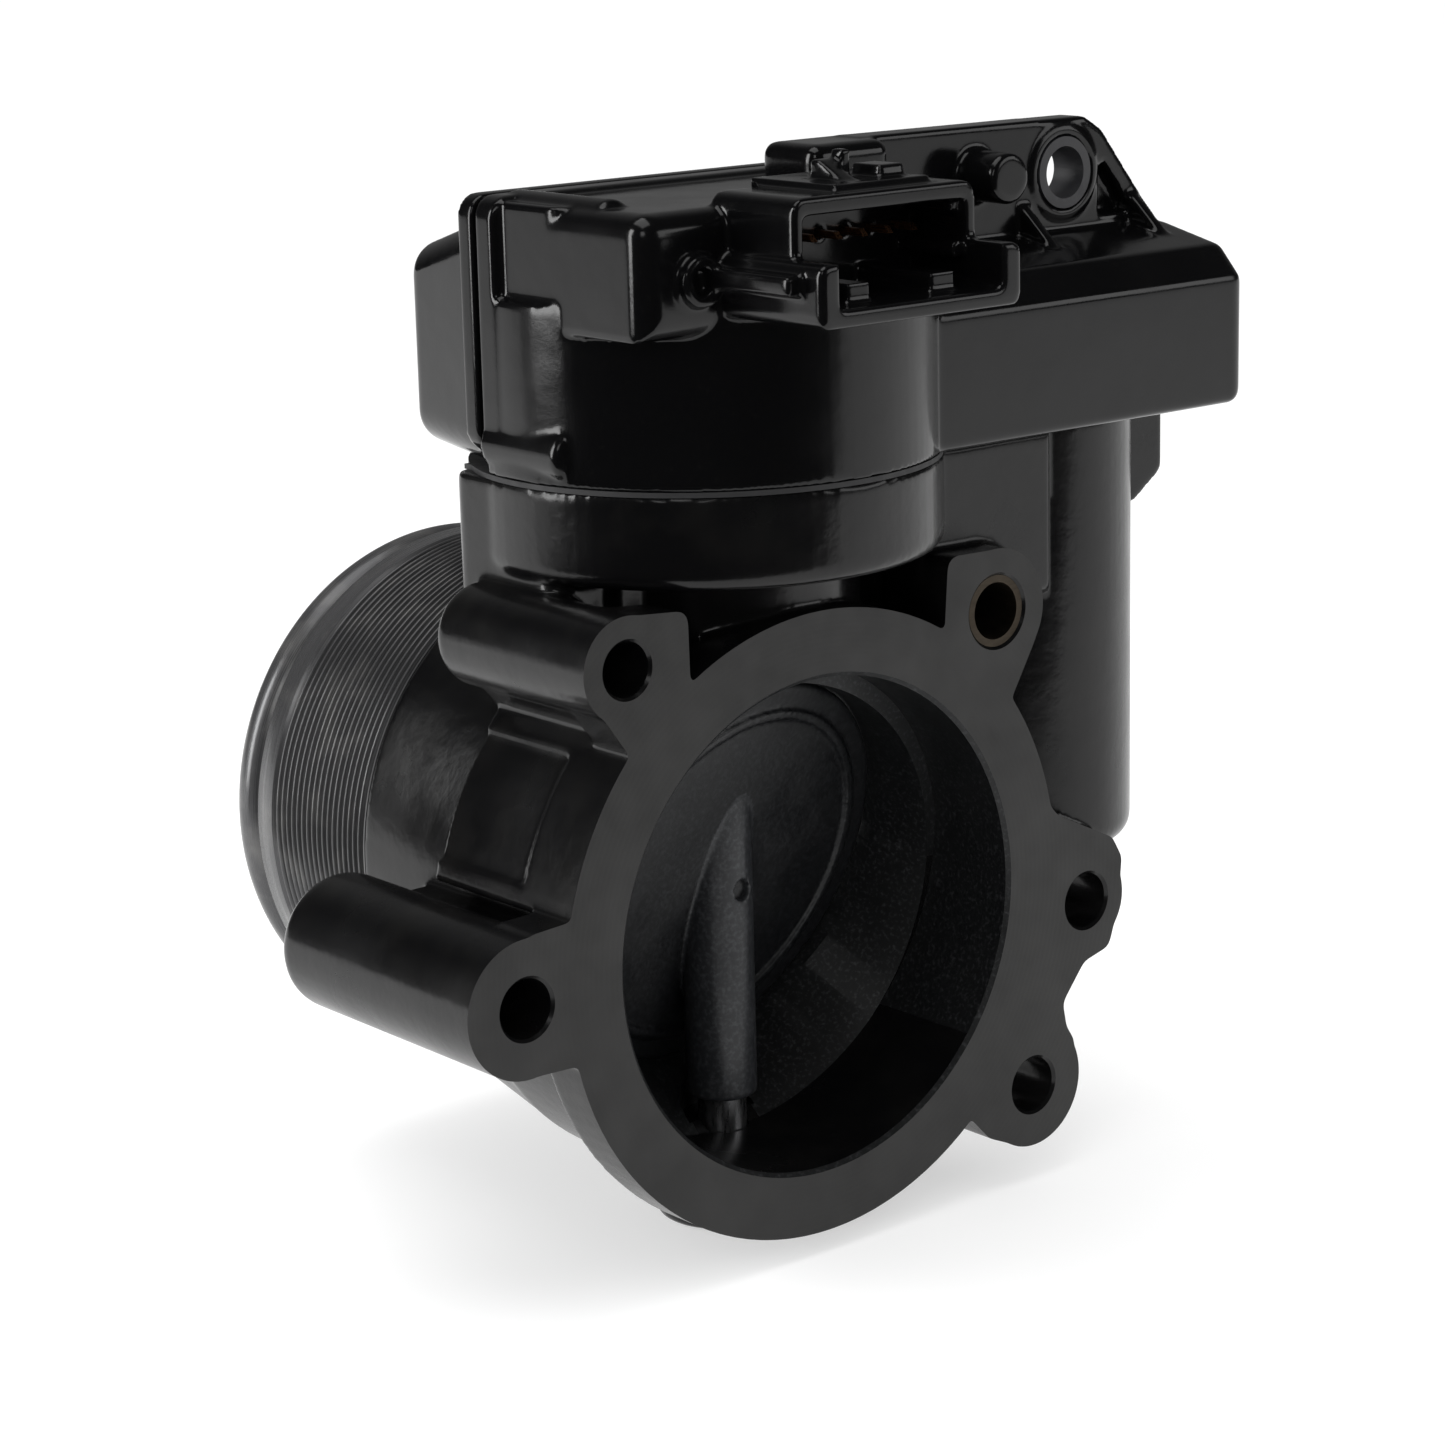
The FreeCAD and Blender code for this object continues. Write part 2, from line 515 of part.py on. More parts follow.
def gear_housing():
    outer = case_solids(0, VALUE["case_low"] + VALUE["gasket_thick"])
    # screw bosses and swellings on the left end and the front face
    outer.append(rounded(cylinder((-23.0, 6.5, 84.4), 2.6, 18, ALONG_Y), 0.8,
                         lambda e: len(e.Vertexes) == 1 and e.CenterOfMass.y < 7))
    outer.append(rounded(cylinder((-25.2, 11.5, 58.1), 3.4, 14.5, ALONG_Y), 1.0,
                         lambda e: len(e.Vertexes) == 1 and e.CenterOfMass.y < 12))
    outer.append(cut(cylinder((-19.5, -4.6, 78.4), 2.9, 6, ALONG_Y),
                     [cylinder((-19.5, -5, 78.4), 1.5, 4, ALONG_Y)]))
    outer.append(rounded(box((-25.5, 12, 54.6), (-14, "parting_y", 76)), 2.0, lambda e: runs_along(e, 2)))
    # upright mounting ear with a stud boss in front of it
    ear = prism([(16, 74), (16, 90.6), (54.5, 90.4), (57.5, 88.6), (64.8, 79.6), (68.6, 75.5)],
                "ear_front", "ear_thick", "Y", 1.4)
    outer.append(ear)
    outer.append(rounded(cylinder((35.6, 4.6, 84.6), 3.1, 8, ALONG_Y), 0.6,
                         lambda e: len(e.Vertexes) == 1 and e.CenterOfMass.y < 5))
    eye = cylinder(("ear_hole_x", "ear_bush_front", "ear_hole_z"), 5.8, "ear_bush_length", ALONG_Y)
    outer.append(rounded(eye, 0.4, lambda e: len(e.Vertexes) == 1 and e.CenterOfMass.y < 11))
    for x in (24.0, 43.0, 62.0):
        outer.append(prism([(3.5, 74), (15, 74), (15, 84)], x, 1.6, "X"))
    outer.append(rounded(box((7.5, 8, 84), (19.5, 18, 90.4)), 1.6,
                         lambda e: not runs_along(e, 0) or e.CenterOfMass.z > 85))
    outer += connector_shroud()
    outer.append(parting_rim("parting_y - 3.4", 3.4))
    inner = case_solids(VALUE["case_wall"], VALUE["case_low"])
    inner.append(cylinder(("2 * gear_step", "shaft_y", 50), "pocket_radius + 1.2", 12))
    inner.append(cylinder(("gear_step", "shaft_y", 50), "axle_radius + 0.5", 12))
    inner += clamp_ear_rooms()
    inner += connector_cavity()
    inner.append(cylinder(("ear_hole_x", 0, "ear_hole_z"), "ear_bush_radius", 30, ALONG_Y))
    inner.append(prism([(57.0, 85.6), (60.6, 81.2), (62.6, 78.0), (57.0, 78.0)], 9, 4.2, "Y", 0.7))
    bosses = []
    for x, z in COVER_SCREWS:
        boss = cylinder((x, 14, z), 3.0, "parting_y - 14", ALONG_Y)
        bosses.append(cut(boss, [cylinder((x, 16, z), 1.3, 12, ALONG_Y)]))
        # a web ties the boss to the case's side wall
        side = VALUE["case_left"] + 0.5 if x < 0 else VALUE["case_right"] - 0.5
        if z < VALUE["box_top"] - 2:
            bosses.append(box((min(x, side), 14, z - 1), (max(x, side), "parting_y", z + 1)))
    front = [(x, y) for x, y in HOUSING_SCREWS if y < VALUE["parting_y"]]
    pads = [cylinder((x, y, "case_low + gasket_thick"), 3.2, "screw_pad_high") for x, y in front]
    shell = fuse([cut(fuse(outer), inner)] + bosses + pads)
    drills = [cylinder((x, y, 50), 1.7, 12) for x, y in front]
    drills += [cylinder((x, 16, z), 1.3, 12, ALONG_Y) for x, z in COVER_SCREWS]
    keep("gear_housing", cut(shell, drills))


def clamp_ear_rooms():
    """Room in the case's floor for the ears of the motor's clamp plate."""
    rooms = []
    for degrees in CLAMP_ANGLES:
        x, y = clamp_centre(degrees)
        rooms.append(cylinder((x, y, 50), 3.8, 9))
    return rooms


def connector_shroud():
    middle = VALUE["plug_centre_x"]
    half = VALUE["plug_half"]
    upper = rounded(box((middle - half + 0.6, "plug_roof_front", "plug_shoulder - 3"),
                        (middle + half - 0.6, 0, "plug_high")), 1.8,
                    lambda e: runs_along(e, 1) and e.CenterOfMass.z > 85)
    tray = rounded(box((middle - half - 0.8, "plug_front", "plug_low"),
                       (middle + half + 0.8, 0, "plug_shoulder")), 1.2,
                   lambda e: runs_along(e, 1))
    wings = [box((middle + side * (half + 1.6) - 1.4, -17, "plug_shoulder - 3.4"),
                 (middle + side * (half + 1.6) + 1.4, 0, "plug_shoulder - 1.2")) for side in (-1, 1)]
    ramp = prism([(-12, 87), (-12, 87.8), (-6.5, 90.6), (-5.2, 90.6), (-5.2, 87)], middle - 3.4, 2.4, "X")
    tab = box((middle - 0.6, -7.5, 87), (middle + 0.8, -5.5, 91.6))
    block = box((middle + 2.4, -10.5, 87), (middle + 6.2, -5.5, 89.8))
    roof_rib = box((middle - 6.0, -12.5, 87), (middle + 8.0, 2, 88.4))
    return [upper, tray, ramp, tab, block, roof_rib] + wings


def connector_cavity():
    middle = VALUE["plug_centre_x"]
    half = VALUE["plug_half"]
    wall = VALUE["plug_wall"]
    socket = rounded(box((middle - half + wall, -21, "plug_low + plug_wall"),
                         (middle + half - wall, "case_front - 2", "plug_high - plug_wall")), 0.8,
                     lambda e: runs_along(e, 1))
    mouth = box((middle - half - 2, -22, "plug_shoulder"), (middle + half + 2, "plug_roof_front", 95))
    keys = [box((middle - 8.6, -17, 75), (middle - 5.0, -5, 78.2)),
            box((middle + 3.6, -17, 75), (middle + 7.6, -5, 78.2)),
            box((middle + half - 3.6, -13, 84.0), (middle + half - 1.0, -5, 86.5))]
    peg = cylinder((middle + half - 3.2, -14, 80.0), 1.0, 10, ALONG_Y)
    slots = []
    for x in pin_places():
        slots.append(box((x - 0.5, -6, 81.8), (x + 0.5, 2, 82.8)))
    return [cut(socket, keys + [peg]), mouth] + slots


def pin_places():
    middle = (VALUE["pin_count"] - 1) / 2
    return [VALUE["plug_centre_x"] + VALUE["pin_pitch"] * (i - middle) for i in range(VALUE["pin_count"])]


def connector_pins():
    """Six blades that come through the case's front wall and turn down to the board."""
    pins = []
    for x in pin_places():
        z = VALUE["pin_z"]
        tip = VALUE["pin_tip_y"]
        side = [(tip, z - 0.4), (tip + 0.7, z + 0.4), (5.4, z + 0.4), (5.4, 76), (4.6, 76), (4.6, z - 0.4)]
        pins.append(prism(side, x - 0.4, "pin_size", "X"))
    keep("connector_pins", compound(pins))


def rear_cover():
    """Loaf-shaped cover behind the parting plane, drawn in towards its back."""
    def loaf(inset, start, end):
        left = VALUE["case_left"] + inset
        right = VALUE["case_right"] - inset
        low = VALUE["case_low"] + VALUE["gasket_thick"] + inset
        high = VALUE["hood_top"] - 1.6 - inset
        shoulder = VALUE["box_top"] + 0.8 - inset
        taper = 2.6
        near = [(left, low), (right, low), (right, shoulder),
                (30 - inset, shoulder), (26 - inset, high), (left, high)]
        far = [(left + taper, low + taper / 2), (right - taper, low + taper / 2),
               (right - taper, shoulder - taper), (30 - inset, shoulder - taper),
               (26 - inset, high - 2 * taper), (left + taper, high - 2 * taper)]
        sections = []
        for points, y in ((near, start), (far, end)):
            sketch = DOC.addObject("Sketcher::SketchObject", "Section")
            sketch.addGeometry(outline_edges(points, 4.0 if inset == 0 else 2.2), False)
            sketch.Placement = FreeCAD.Placement(Vec(0, y, 0), Turn(Vec(1, 0, 0), 90))
            sections.append(sketch)
        item = DOC.addObject("Part::Loft", "Loaf")
        item.Sections = sections
        item.Solid = True
        item.Ruled = True
        return item

    start = VALUE["parting_y"] + VALUE["gasket_thick"]
    back = VALUE["case_back"]
    outer = rounded(loaf(0, start, back), 2.5, lambda e: e.BoundBox.YMin > back - 0.01)
    inner = loaf(VALUE["case_wall"], start - 0.01, back - VALUE["case_wall"])
    towers = []
    holes = []
    for x, z in COVER_SCREWS:
        towers.append(common(cylinder((x, start, z), 4.2, back - start, ALONG_Y), outer))
        holes.append(cylinder((x, start - 1, z), 1.6, 12, ALONG_Y))
        holes.append(cylinder((x, start + 4.0, z), 3.1, 20, ALONG_Y))
    ribs = [box((x, 42, 60), (x + 1.8, "case_back + 0.8", 72)) for x in (-12.0, 2.0, 16.0, 30.0, 44.0)]
    # the cover's floor is open over the drum and the motor pocket
    under = [cylinder((0, "shaft_y", 50), "spring_room", 8),
             cylinder(("2 * gear_step", "shaft_y", 50), "pocket_radius + 1.2", 8)] + clamp_ear_rooms()
    under += [cylinder((x, y, 50), 1.7, 10) for x, y in HOUSING_SCREWS if y > start]
    heads = [cylinder((x, y, 56.8), 2.6, 4.5) for x, y in HOUSING_SCREWS if y > start]
    rim = parting_rim("parting_y + gasket_thick", 2.6)
    shell = cut(fuse([outer, rim] + ribs), [inner] + under + heads)
    keep("rear_cover", cut(fuse([shell] + towers), holes))


def gaskets():
    start = VALUE["parting_y"]
    wall = VALUE["case_wall"] - 0.2
    left, right = VALUE["case_left"] + 0.1, VALUE["case_right"] - 0.1
    low = VALUE["case_low"] + VALUE["gasket_thick"] + 0.1
    high, shoulder = VALUE["hood_top"] - 1.8, VALUE["box_top"] - 0.1

    def loop(inset):
        return [(left + inset, low + inset), (right - inset, low + inset), (right - inset, shoulder - inset),
                (28 - inset, shoulder - inset), (26 - inset, high - inset), (left + inset, high - inset)]
    ring = cut(prism(loop(0), start, "gasket_thick", "Y", 3.0), [prism(loop(wall), start - 1, 3, "Y", 2.0)])
    holes = [cylinder((x, start - 1, z), 1.5, 3, ALONG_Y) for x, z in COVER_SCREWS]
    # the ring stops where the case's floor is open
    holes.append(cylinder((0, "shaft_y", 50), "spring_room", 8))
    holes.append(cylinder(("2 * gear_step", "shaft_y", 50), "pocket_radius + 1.2", 8))
    keep("cover_gasket", cut(ring, holes + clamp_ear_rooms()))
    drum = common(cylinder((0, "shaft_y", "case_low"), "drum_radius - 0.1", "gasket_thick"),
                  box((-40, -20, 40), (40, "drum_back - 0.1", 60)))
    pads = []
    for degrees in CLAMP_ANGLES:
        x, y = clamp_centre(degrees)
        pads.append(cylinder((x, y, "case_low"), "clamp_pad_radius - 0.1", "gasket_thick"))
    base = fuse([drum,
                 cylinder(("2 * gear_step", "shaft_y", "case_low"), "tube_radius + 0.6", "gasket_thick"),
                 box((16, 8.1, "case_low"), ("2 * gear_step", 35.9, "case_low + gasket_thick")),
                 box((-25.2, 15, "case_low"), (-16, 33.9, "case_low + gasket_thick"))] + pads)
    tools = [cylinder((0, "shaft_y", 53), "spring_room", 3),
             cylinder(("2 * gear_step", "shaft_y", 53), "pocket_radius", 3)]
    tools += [cylinder((x, y, 53), 1.7, 3) for x, y in HOUSING_SCREWS]
    tools.append(cylinder(("gear_step", "shaft_y", 53), "axle_radius + 0.3", 3))
    for degrees in CLAMP_ANGLES:
        x, y = clamp_centre(degrees)
        tools.append(cylinder((x, y, 53), 1.4, 3))
    keep("base_gasket", cut(base, tools))


# ---------------------------------------------------------------- screws


def screw(at, turn, head_radius, head_height, shank_radius, shank_length):
    """Pan-head screw with a hexagon socket; its shank runs along the turned Z, its head behind."""
    x, y, z = at
    head = DOC.addObject("Part::Cylinder", "Head")
    head.Radius = head_radius
    head.Height = head_height
    shank = DOC.addObject("Part::Cylinder", "Shank")
    shank.Radius = shank_radius
    shank.Height = shank_length
    shank.Placement.Base.z = head_height
    socket = DOC.addObject("Part::Prism", "Socket")
    socket.Polygon = 6
    socket.Circumradius = head_radius * 0.5
    socket.Height = head_height * 0.6
    crown = rounded(head, head_height * 0.25, lambda e: len(e.Vertexes) == 1 and e.CenterOfMass.z < 0.01)
    item = cut(fuse([crown, shank]), [socket])
    item.Placement = FreeCAD.Placement(Vec(x, y, z), turn)
    return item


BACKWARD = Turn(Vec(1, 0, 0), 90)
DOWN = Turn(Vec(1, 0, 0), 180)


def screws():
    head_y = VALUE["parting_y"] + VALUE["gasket_thick"] + 4.0 + 2.2
    keep("cover_screws", compound([screw((x, head_y, z), BACKWARD, 2.9, 2.2, 1.25, 13)
                                   for x, z in COVER_SCREWS]))
    top = VALUE["case_low"] + VALUE["gasket_thick"]
    heads = []
    for x, y in HOUSING_SCREWS:
        rise = VALUE["screw_pad_high"] if y < VALUE["parting_y"] else VALUE["case_wall"]
        heads.append(screw((x, y, top + rise + 2.0), DOWN, 2.1, 2.0, 1.45, 9))
    keep("housing_screws", compound(heads))
    clamps = []
    for degrees in CLAMP_ANGLES:
        x, y = clamp_centre(degrees)
        clamps.append(screw((x, y, top + 1.2 + 1.6), DOWN, 2.2, 1.6, 1.15, 7))
    keep("motor_screws", compound(clamps))


# ---------------------------------------------------------------- shaft, plate and bearings


def throttle_plate():
    turn = (Turn(Vec(0, 0, 1), VALUE["plate_rest_angle"])
            * Turn(Vec(1, 0, 0), VALUE["seat_tilt"]) * ALONG_Y)
    middle = Vec(0, VALUE["shaft_y"], VALUE["seat_z"])
    disc = cylinder((0, 0, 0), "plate_radius", "plate_thick")
    disc = rounded(disc, 0.7, lambda e: len(e.Vertexes) == 1)
    half = VALUE["plate_thick"] / 2
    disc.Placement = FreeCAD.Placement(middle - turn.multVec(Vec(0, 0, half)), turn)
    hub = rounded(cylinder((0, "shaft_y", "hub_low"), "hub_radius", "hub_high - hub_low"), 0.6,
                  lambda e: len(e.Vertexes) == 1)
    rim = cylinder((0, 0, 0), "plate_radius - 3.4", 0.9)
    rim_hole = cylinder((0, 0, -1), "plate_radius - 4.6", 3)
    ring = cut(rim, [rim_hole])
    ring.Placement = FreeCAD.Placement(middle - turn.multVec(Vec(0, 0, half + 0.5)), turn)
    bore = cylinder((0, "shaft_y", -40), "shaft_radius", 80)
    pin_hole = cross_pin(VALUE["hub_radius"] + 2)
    keep("throttle_plate", cut(fuse([disc, hub, ring]), [bore, pin_hole]))


def cross_pin(reach):
    """The pin that locks the hub on the shaft or, with a longer reach, the hole it sits in."""
    turn = Turn(Vec(0, 0, 1), VALUE["plate_rest_angle"]) * ALONG_Y
    start = turn.multVec(Vec(0, 0, -reach))
    place_at = (start.x, VALUE["shaft_y"] + start.y, "cross_pin_z")
    return cylinder(place_at, "cross_pin_radius", 2 * reach, turn)


def shaft_and_bearings():
    shaft = spun("shaft_blank", [
        (0, 0), ("shaft_radius - 0.5", 0), ("shaft_radius", 0.5),
        ("shaft_radius", "shaft_high - shaft_low - 0.6"),
        ("shaft_radius - 0.6", "shaft_high - shaft_low"), (0, "shaft_high - shaft_low")],
        (0, "shaft_y", "shaft_low"))
    groove = cut(cylinder((0, "shaft_y", "race_low + race_width + 0.15"), 4, "clip_thick + 0.1"),
                 [cylinder((0, "shaft_y", 40), "shaft_radius - 0.35", 6)])
    keep("throttle_shaft", cut(shaft, [cross_pin(VALUE["hub_radius"] + 2), groove]))
    keep("plate_pin", cross_pin(VALUE["hub_radius"] - 1))
    at = (0, "shaft_y", "needle_low")
    turned("lower_needle_bearing", [
        ("shaft_radius + running_gap", 0.6), ("shaft_radius + running_gap", "needle_length - 0.6"),
        ("shaft_radius + 0.5", "needle_length"), ("needle_radius", "needle_length"), ("needle_radius", 0),
        ("shaft_radius + 0.5", 0)], at)
    turned("shaft_bore_plug", [
        (0, 0), (0, 0.8), ("plug_radius - 1", 0.8), ("plug_radius - 1", "plug_thick"),
        ("plug_radius", "plug_thick"), ("plug_radius", 0.4), ("plug_radius - 0.4", 0)],
        (0, "shaft_y", "needle_low - plug_thick - 0.2"))
    turned("shaft_seal", [
        ("shaft_radius + running_gap", 1.4), ("shaft_radius + running_gap", 1.9),
        ("shaft_radius + 1.2", "seal_length"), ("seal_radius", "seal_length"), ("seal_radius", 0),
        ("shaft_radius + 1.0", 0)], (0, "shaft_y", "seal_low + 0.3"))
    low = (0, "shaft_y", "race_low")
    turned("upper_bearing_inner_race", [
        ("shaft_radius", 0.2), ("shaft_radius", "race_width - 0.2"),
        ("ball_circle - 1.3", "race_width - 0.2"),
        ("ball_circle - 1.3", "race_width - 1.8"), ("ball_circle - ball_radius - 0.1", "0.5 * race_width"),
        ("ball_circle - 1.3", 1.8), ("ball_circle - 1.3", 0.2)], low)
    turned("upper_bearing_outer_race", [
        ("race_radius", 0), ("race_radius", "race_width"), ("ball_circle + 1.3", "race_width"),
        ("ball_circle + 1.3", "race_width - 1.8"), ("ball_circle + ball_radius + 0.1", "0.5 * race_width"),
        ("ball_circle + 1.3", 1.8), ("ball_circle + 1.3", 0)], low)
    balls = []
    for i in range(8):
        ball = DOC.addObject("Part::Sphere", "Ball")
        bind(ball, "Radius", "ball_radius")
        x, y = polar(VALUE["ball_circle"], 45 * i)
        place(ball, (x, VALUE["shaft_y"] + y, "race_low + 0.5 * race_width"))
        balls.append(ball)
    keep("upper_bearing_balls", compound(balls))
    clip = cut(cylinder((0, "shaft_y", "race_low + race_width + 0.2"), "clip_radius", "clip_thick"),
               [cylinder((0, "shaft_y", 40), "shaft_radius - 0.3", 6), box((-1.4, 12, 40), (1.4, 18, 46))])
    keep("shaft_circlip", clip)


def return_spring():
    """Coil of round wire with two straight tails, and the moulded guide that it sits on."""
    wire = 0.9
    flange = 1.4
    radius = 15.0
    rise = 3 * 2.35
    tail = Vec(0, 6, 0)
    helix = Part.makeHelix(rise / 3, rise, radius)
    start = Vec(radius, 0, 0)
    end = Vec(radius, 0, rise)
    path = Part.Wire([Part.makeLine(start - tail, start)] + helix.Edges + [Part.makeLine(end, end + tail)])
    section = Part.Wire([Part.makeCircle(wire, start - tail, Vec(0, 1, 0))])
    item = DOC.addObject("Part::Feature", "ReturnSpring")
    item.Shape = path.makePipeShell([section], True, True)
    low = VALUE["spring_floor"] + flange + wire + 0.1
    item.Placement = FreeCAD.Placement(Vec(0, VALUE["shaft_y"], low), Turn())
    keep("return_spring", item)
    turned("spring_guide", [
        (10.6, 0), (10.6, 8.2), (12.6, 8.2), (12.6, flange), (19, flange), (19, 0)],
        (0, "shaft_y", "spring_floor"))


# ---------------------------------------------------------------- gears


def gear_outline(teeth, module, first_angle):
    """Involute spur gear outline, one tooth centred on first_angle, as X, Y points."""
    pressure = math.radians(25)
    pitch = teeth * module / 2
    base = pitch * math.cos(pressure)
    tip = pitch + 0.82 * module
    root = pitch - 1.2 * module
    half_tooth = math.pi / (2 * teeth) - VALUE["backlash"] / (2 * pitch)
    at_pitch = math.tan(pressure) - pressure
    points = []
    for i in range(teeth):
        middle = math.radians(first_angle) + 2 * math.pi * i / teeth
        flank = []
        for step in range(5):
            radius = max(base, root) + (tip - max(base, root)) * step / 4
            roll = math.acos(min(1.0, base / radius))
            flank.append((radius, half_tooth + at_pitch - (math.tan(roll) - roll)))
        if root < base:
            flank.insert(0, (root, flank[0][1]))
        side = [(r, middle - a) for r, a in flank] + [(r, middle + a) for r, a in reversed(flank)]
        points += [(r * math.cos(a), r * math.sin(a)) for r, a in side]
    return points


def gear_solid(teeth, module, first_angle, low, thick):
    corners = [Vec(x, y, low) for x, y in gear_outline(teeth, module, first_angle)]
    face = Part.Face(Part.makePolygon(corners + corners[:1]))
    return face.extrude(Vec(0, 0, thick))


def pillar(radius, low, high, x=0.0, y=0.0):
    return Part.makeCylinder(radius, high - low, Vec(x, y, low))


def wedge(radius, low, high, start, end):
    """Slice of a round plate between two directions, in degrees."""
    solid = Part.makeCylinder(radius, high - low, Vec(0, 0, low), Vec(0, 0, 1), end - start)
    solid.rotate(Vec(0, 0, 0), Vec(0, 0, 1), start)
    return solid


def feature(label, shape, x, y):
    item = DOC.addObject("Part::Feature", label)
    item.Shape = shape.removeSplitter()
    item.Placement = FreeCAD.Placement(Vec(x, y, 0), Turn())
    return keep(label, item)


def gears():
    low, thick = VALUE["sector_low"], VALUE["sector_thick"]
    y = VALUE["shaft_y"]
    step = VALUE["gear_step"]
    teeth, module = VALUE["sector_teeth"], VALUE["sector_module"]
    sector = gear_solid(teeth, module, 0, low, thick).common(wedge(22, low, low + thick, -104, 32))
    sector = sector.fuse(wedge(14.6, low, low + thick, -190, 110))
    hub = pillar(VALUE["gear_hub_radius"], 50.0, low + thick)
    sector = sector.fuse(hub)
    for degrees in (-96, -60, -24, 12):
        x_hole, y_hole = polar(13.2, degrees)
        sector = sector.cut(pillar(2.4, low - 1, low + thick + 1, x_hole, y_hole))
    sector = sector.cut(pillar(VALUE["shaft_radius"], 40, 70))
    feature("sector_gear", sector, 0, y)
    small_pitch = 360.0 / VALUE["small_teeth"]
    top = VALUE["large_low"]
    cluster = gear_solid(VALUE["large_teeth"], VALUE["large_module"], 0, top, VALUE["large_thick"])
    groove = pillar(15.5, top + 3.2, top + 9).cut(pillar(7.0, top + 3, top + 9))
    under = pillar(15.5, top - 1, top + 1.2).cut(pillar(7.0, top - 2, top + 2))
    cluster = cluster.cut(groove).cut(under)
    for degrees in range(0, 360, 60):
        x_hole, y_hole = polar(11.2, degrees + 30)
        cluster = cluster.cut(pillar(2.6, top - 1, top + 9, x_hole, y_hole))
    cluster = cluster.fuse(gear_solid(VALUE["small_teeth"], module, small_pitch / 2,
                                      low - 0.4, top - low + 0.6))
    cluster = cluster.fuse(pillar(3.6, top, top + VALUE["large_thick"] + 0.8))
    cluster = cluster.cut(pillar(VALUE["axle_radius"] + VALUE["running_gap"], 40, 80))
    feature("intermediate_gear", cluster, step, y)
    pinion_pitch = 360.0 / VALUE["pinion_teeth"]
    pinion = gear_solid(VALUE["pinion_teeth"], VALUE["large_module"], pinion_pitch / 2, top - 0.4,
                        VALUE["large_thick"] + 0.8)
    pinion = pinion.fuse(pillar(3.4, top - 3.2, top)).cut(pillar(VALUE["motor_shaft_radius"], 40, 80))
    feature("motor_pinion", pinion, 2 * step, y)
    turned("intermediate_axle", [
        (0, 0), (0, "axle_high - 48"), ("axle_radius - 0.4", "axle_high - 48"),
        ("axle_radius", "axle_high - 48.4"),
        ("axle_radius", 0)], ("gear_step", "shaft_y", 48))


# ---------------------------------------------------------------- motor


def motor():
    at = ("2 * gear_step", "shaft_y", 0)
    turned("motor_can", [
        (2.6, "can_low"), (2.6, "can_low + 2"), (4.2, "can_low + 2"), (4.2, "can_low + 1"),
        ("can_inner", "can_low + 1"), ("can_inner", "can_high"), ("can_radius", "can_high"),
        ("can_radius", "can_low + 0.8"), ("can_radius - 0.8", "can_low")], at)
    turned("motor_rear_bush", [
        ("motor_shaft_radius + 0.03", "can_low + 0.2"), ("motor_shaft_radius + 0.03", "can_low + 3.6"),
        (2.6, "can_low + 3.6"), (2.6, "can_low + 0.2")], at)
    turned("motor_end_bell", [
        (2.6, "can_high"), (2.6, "bell_high + 1.4"), (4.6, "bell_high + 1.4"), (4.6, "bell_high"),
        ("can_radius", "bell_high"), ("can_radius", "can_high")], at)
    turned("motor_front_bush", [
        ("motor_shaft_radius + 0.03", "can_high + 0.4"), ("motor_shaft_radius + 0.03", "bell_high + 1.2"),
        (2.6, "bell_high + 1.2"), (2.6, "can_high + 0.4")], at)
    turned("motor_shaft", [
        (0, "can_low + 0.4"), (0, 68.6), ("motor_shaft_radius - 0.3", 68.6), ("motor_shaft_radius", 68.3),
        ("motor_shaft_radius", "can_low + 0.4")], at)
    centre_x = 2 * VALUE["gear_step"]
    y = VALUE["shaft_y"]
    core = pillar(VALUE["armature_radius"], 9, 36)
    for i in range(5):
        x_slot, y_slot = polar(VALUE["armature_radius"], 72 * i)
        slot = Part.makeBox(5.6, 1.3, 40, Vec(-4.4, -0.65, 5))
        slot.rotate(Vec(0, 0, 0), Vec(0, 0, 1), 72 * i)
        slot.translate(Vec(x_slot, y_slot, 0))
        core = core.cut(slot)
    core = core.fuse(pillar(7.4, 6.4, 38.6)).fuse(pillar(4.2, 38.0, 44.4))
    core = core.cut(pillar(VALUE["motor_shaft_radius"], 0, 60))
    feature("motor_armature", core, centre_x, y)
    magnets = []
    for start in (-60, 120):
        ring = wedge(VALUE["magnet_outer"], 8, 37, start, start + 120)
        magnets.append(ring.cut(pillar(VALUE["magnet_inner"], 0, 60)))
    item = DOC.addObject("Part::Feature", "Magnets")
    item.Shape = Part.makeCompound(magnets)
    item.Placement = FreeCAD.Placement(Vec(centre_x, y, 0), Turn())
    keep("motor_magnets", item)
    ring = cut(cylinder(at[:2] + ("pocket_low",), 12.5, 1.1), [cylinder(at[:2] + (0,), 9.5, 4)])
    keep("motor_wave_spring", ring)
    plate_low = VALUE["case_low"] + VALUE["gasket_thick"]
    ears = []
    for degrees in CLAMP_ANGLES:
        x, y_ear = clamp_centre(degrees)
        ears.append(cylinder((x, y_ear, plate_low), 3.3, 1.2))
    disc = fuse([cylinder(at[:2] + (plate_low,), 15.2, 1.2)] + ears)
    tools = [cylinder(at[:2] + (50,), 6.4, 8)]
    for degrees in CLAMP_ANGLES:
        x, y_ear = clamp_centre(degrees)
        tools.append(cylinder((x, y_ear, 50), 1.4, 8))
    tools += [box(("2 * gear_step + %s" % a, "shaft_y - 1.8", 50),
                  ("2 * gear_step + %s" % (a + 3), "shaft_y + 1.8", 58))
              for a in (8.0, -11.0)]
    keep("motor_clamp_plate", cut(disc, tools))
    blades = [box(("2 * gear_step + %s" % a, "shaft_y - 1.2", "bell_high"),
                  ("2 * gear_step + %s" % (a + 0.8), "shaft_y + 1.2", 58.5)) for a in (9.1, -9.9)]
    keep("motor_terminals", compound(blades))


# ---------------------------------------------------------------- sensor and board


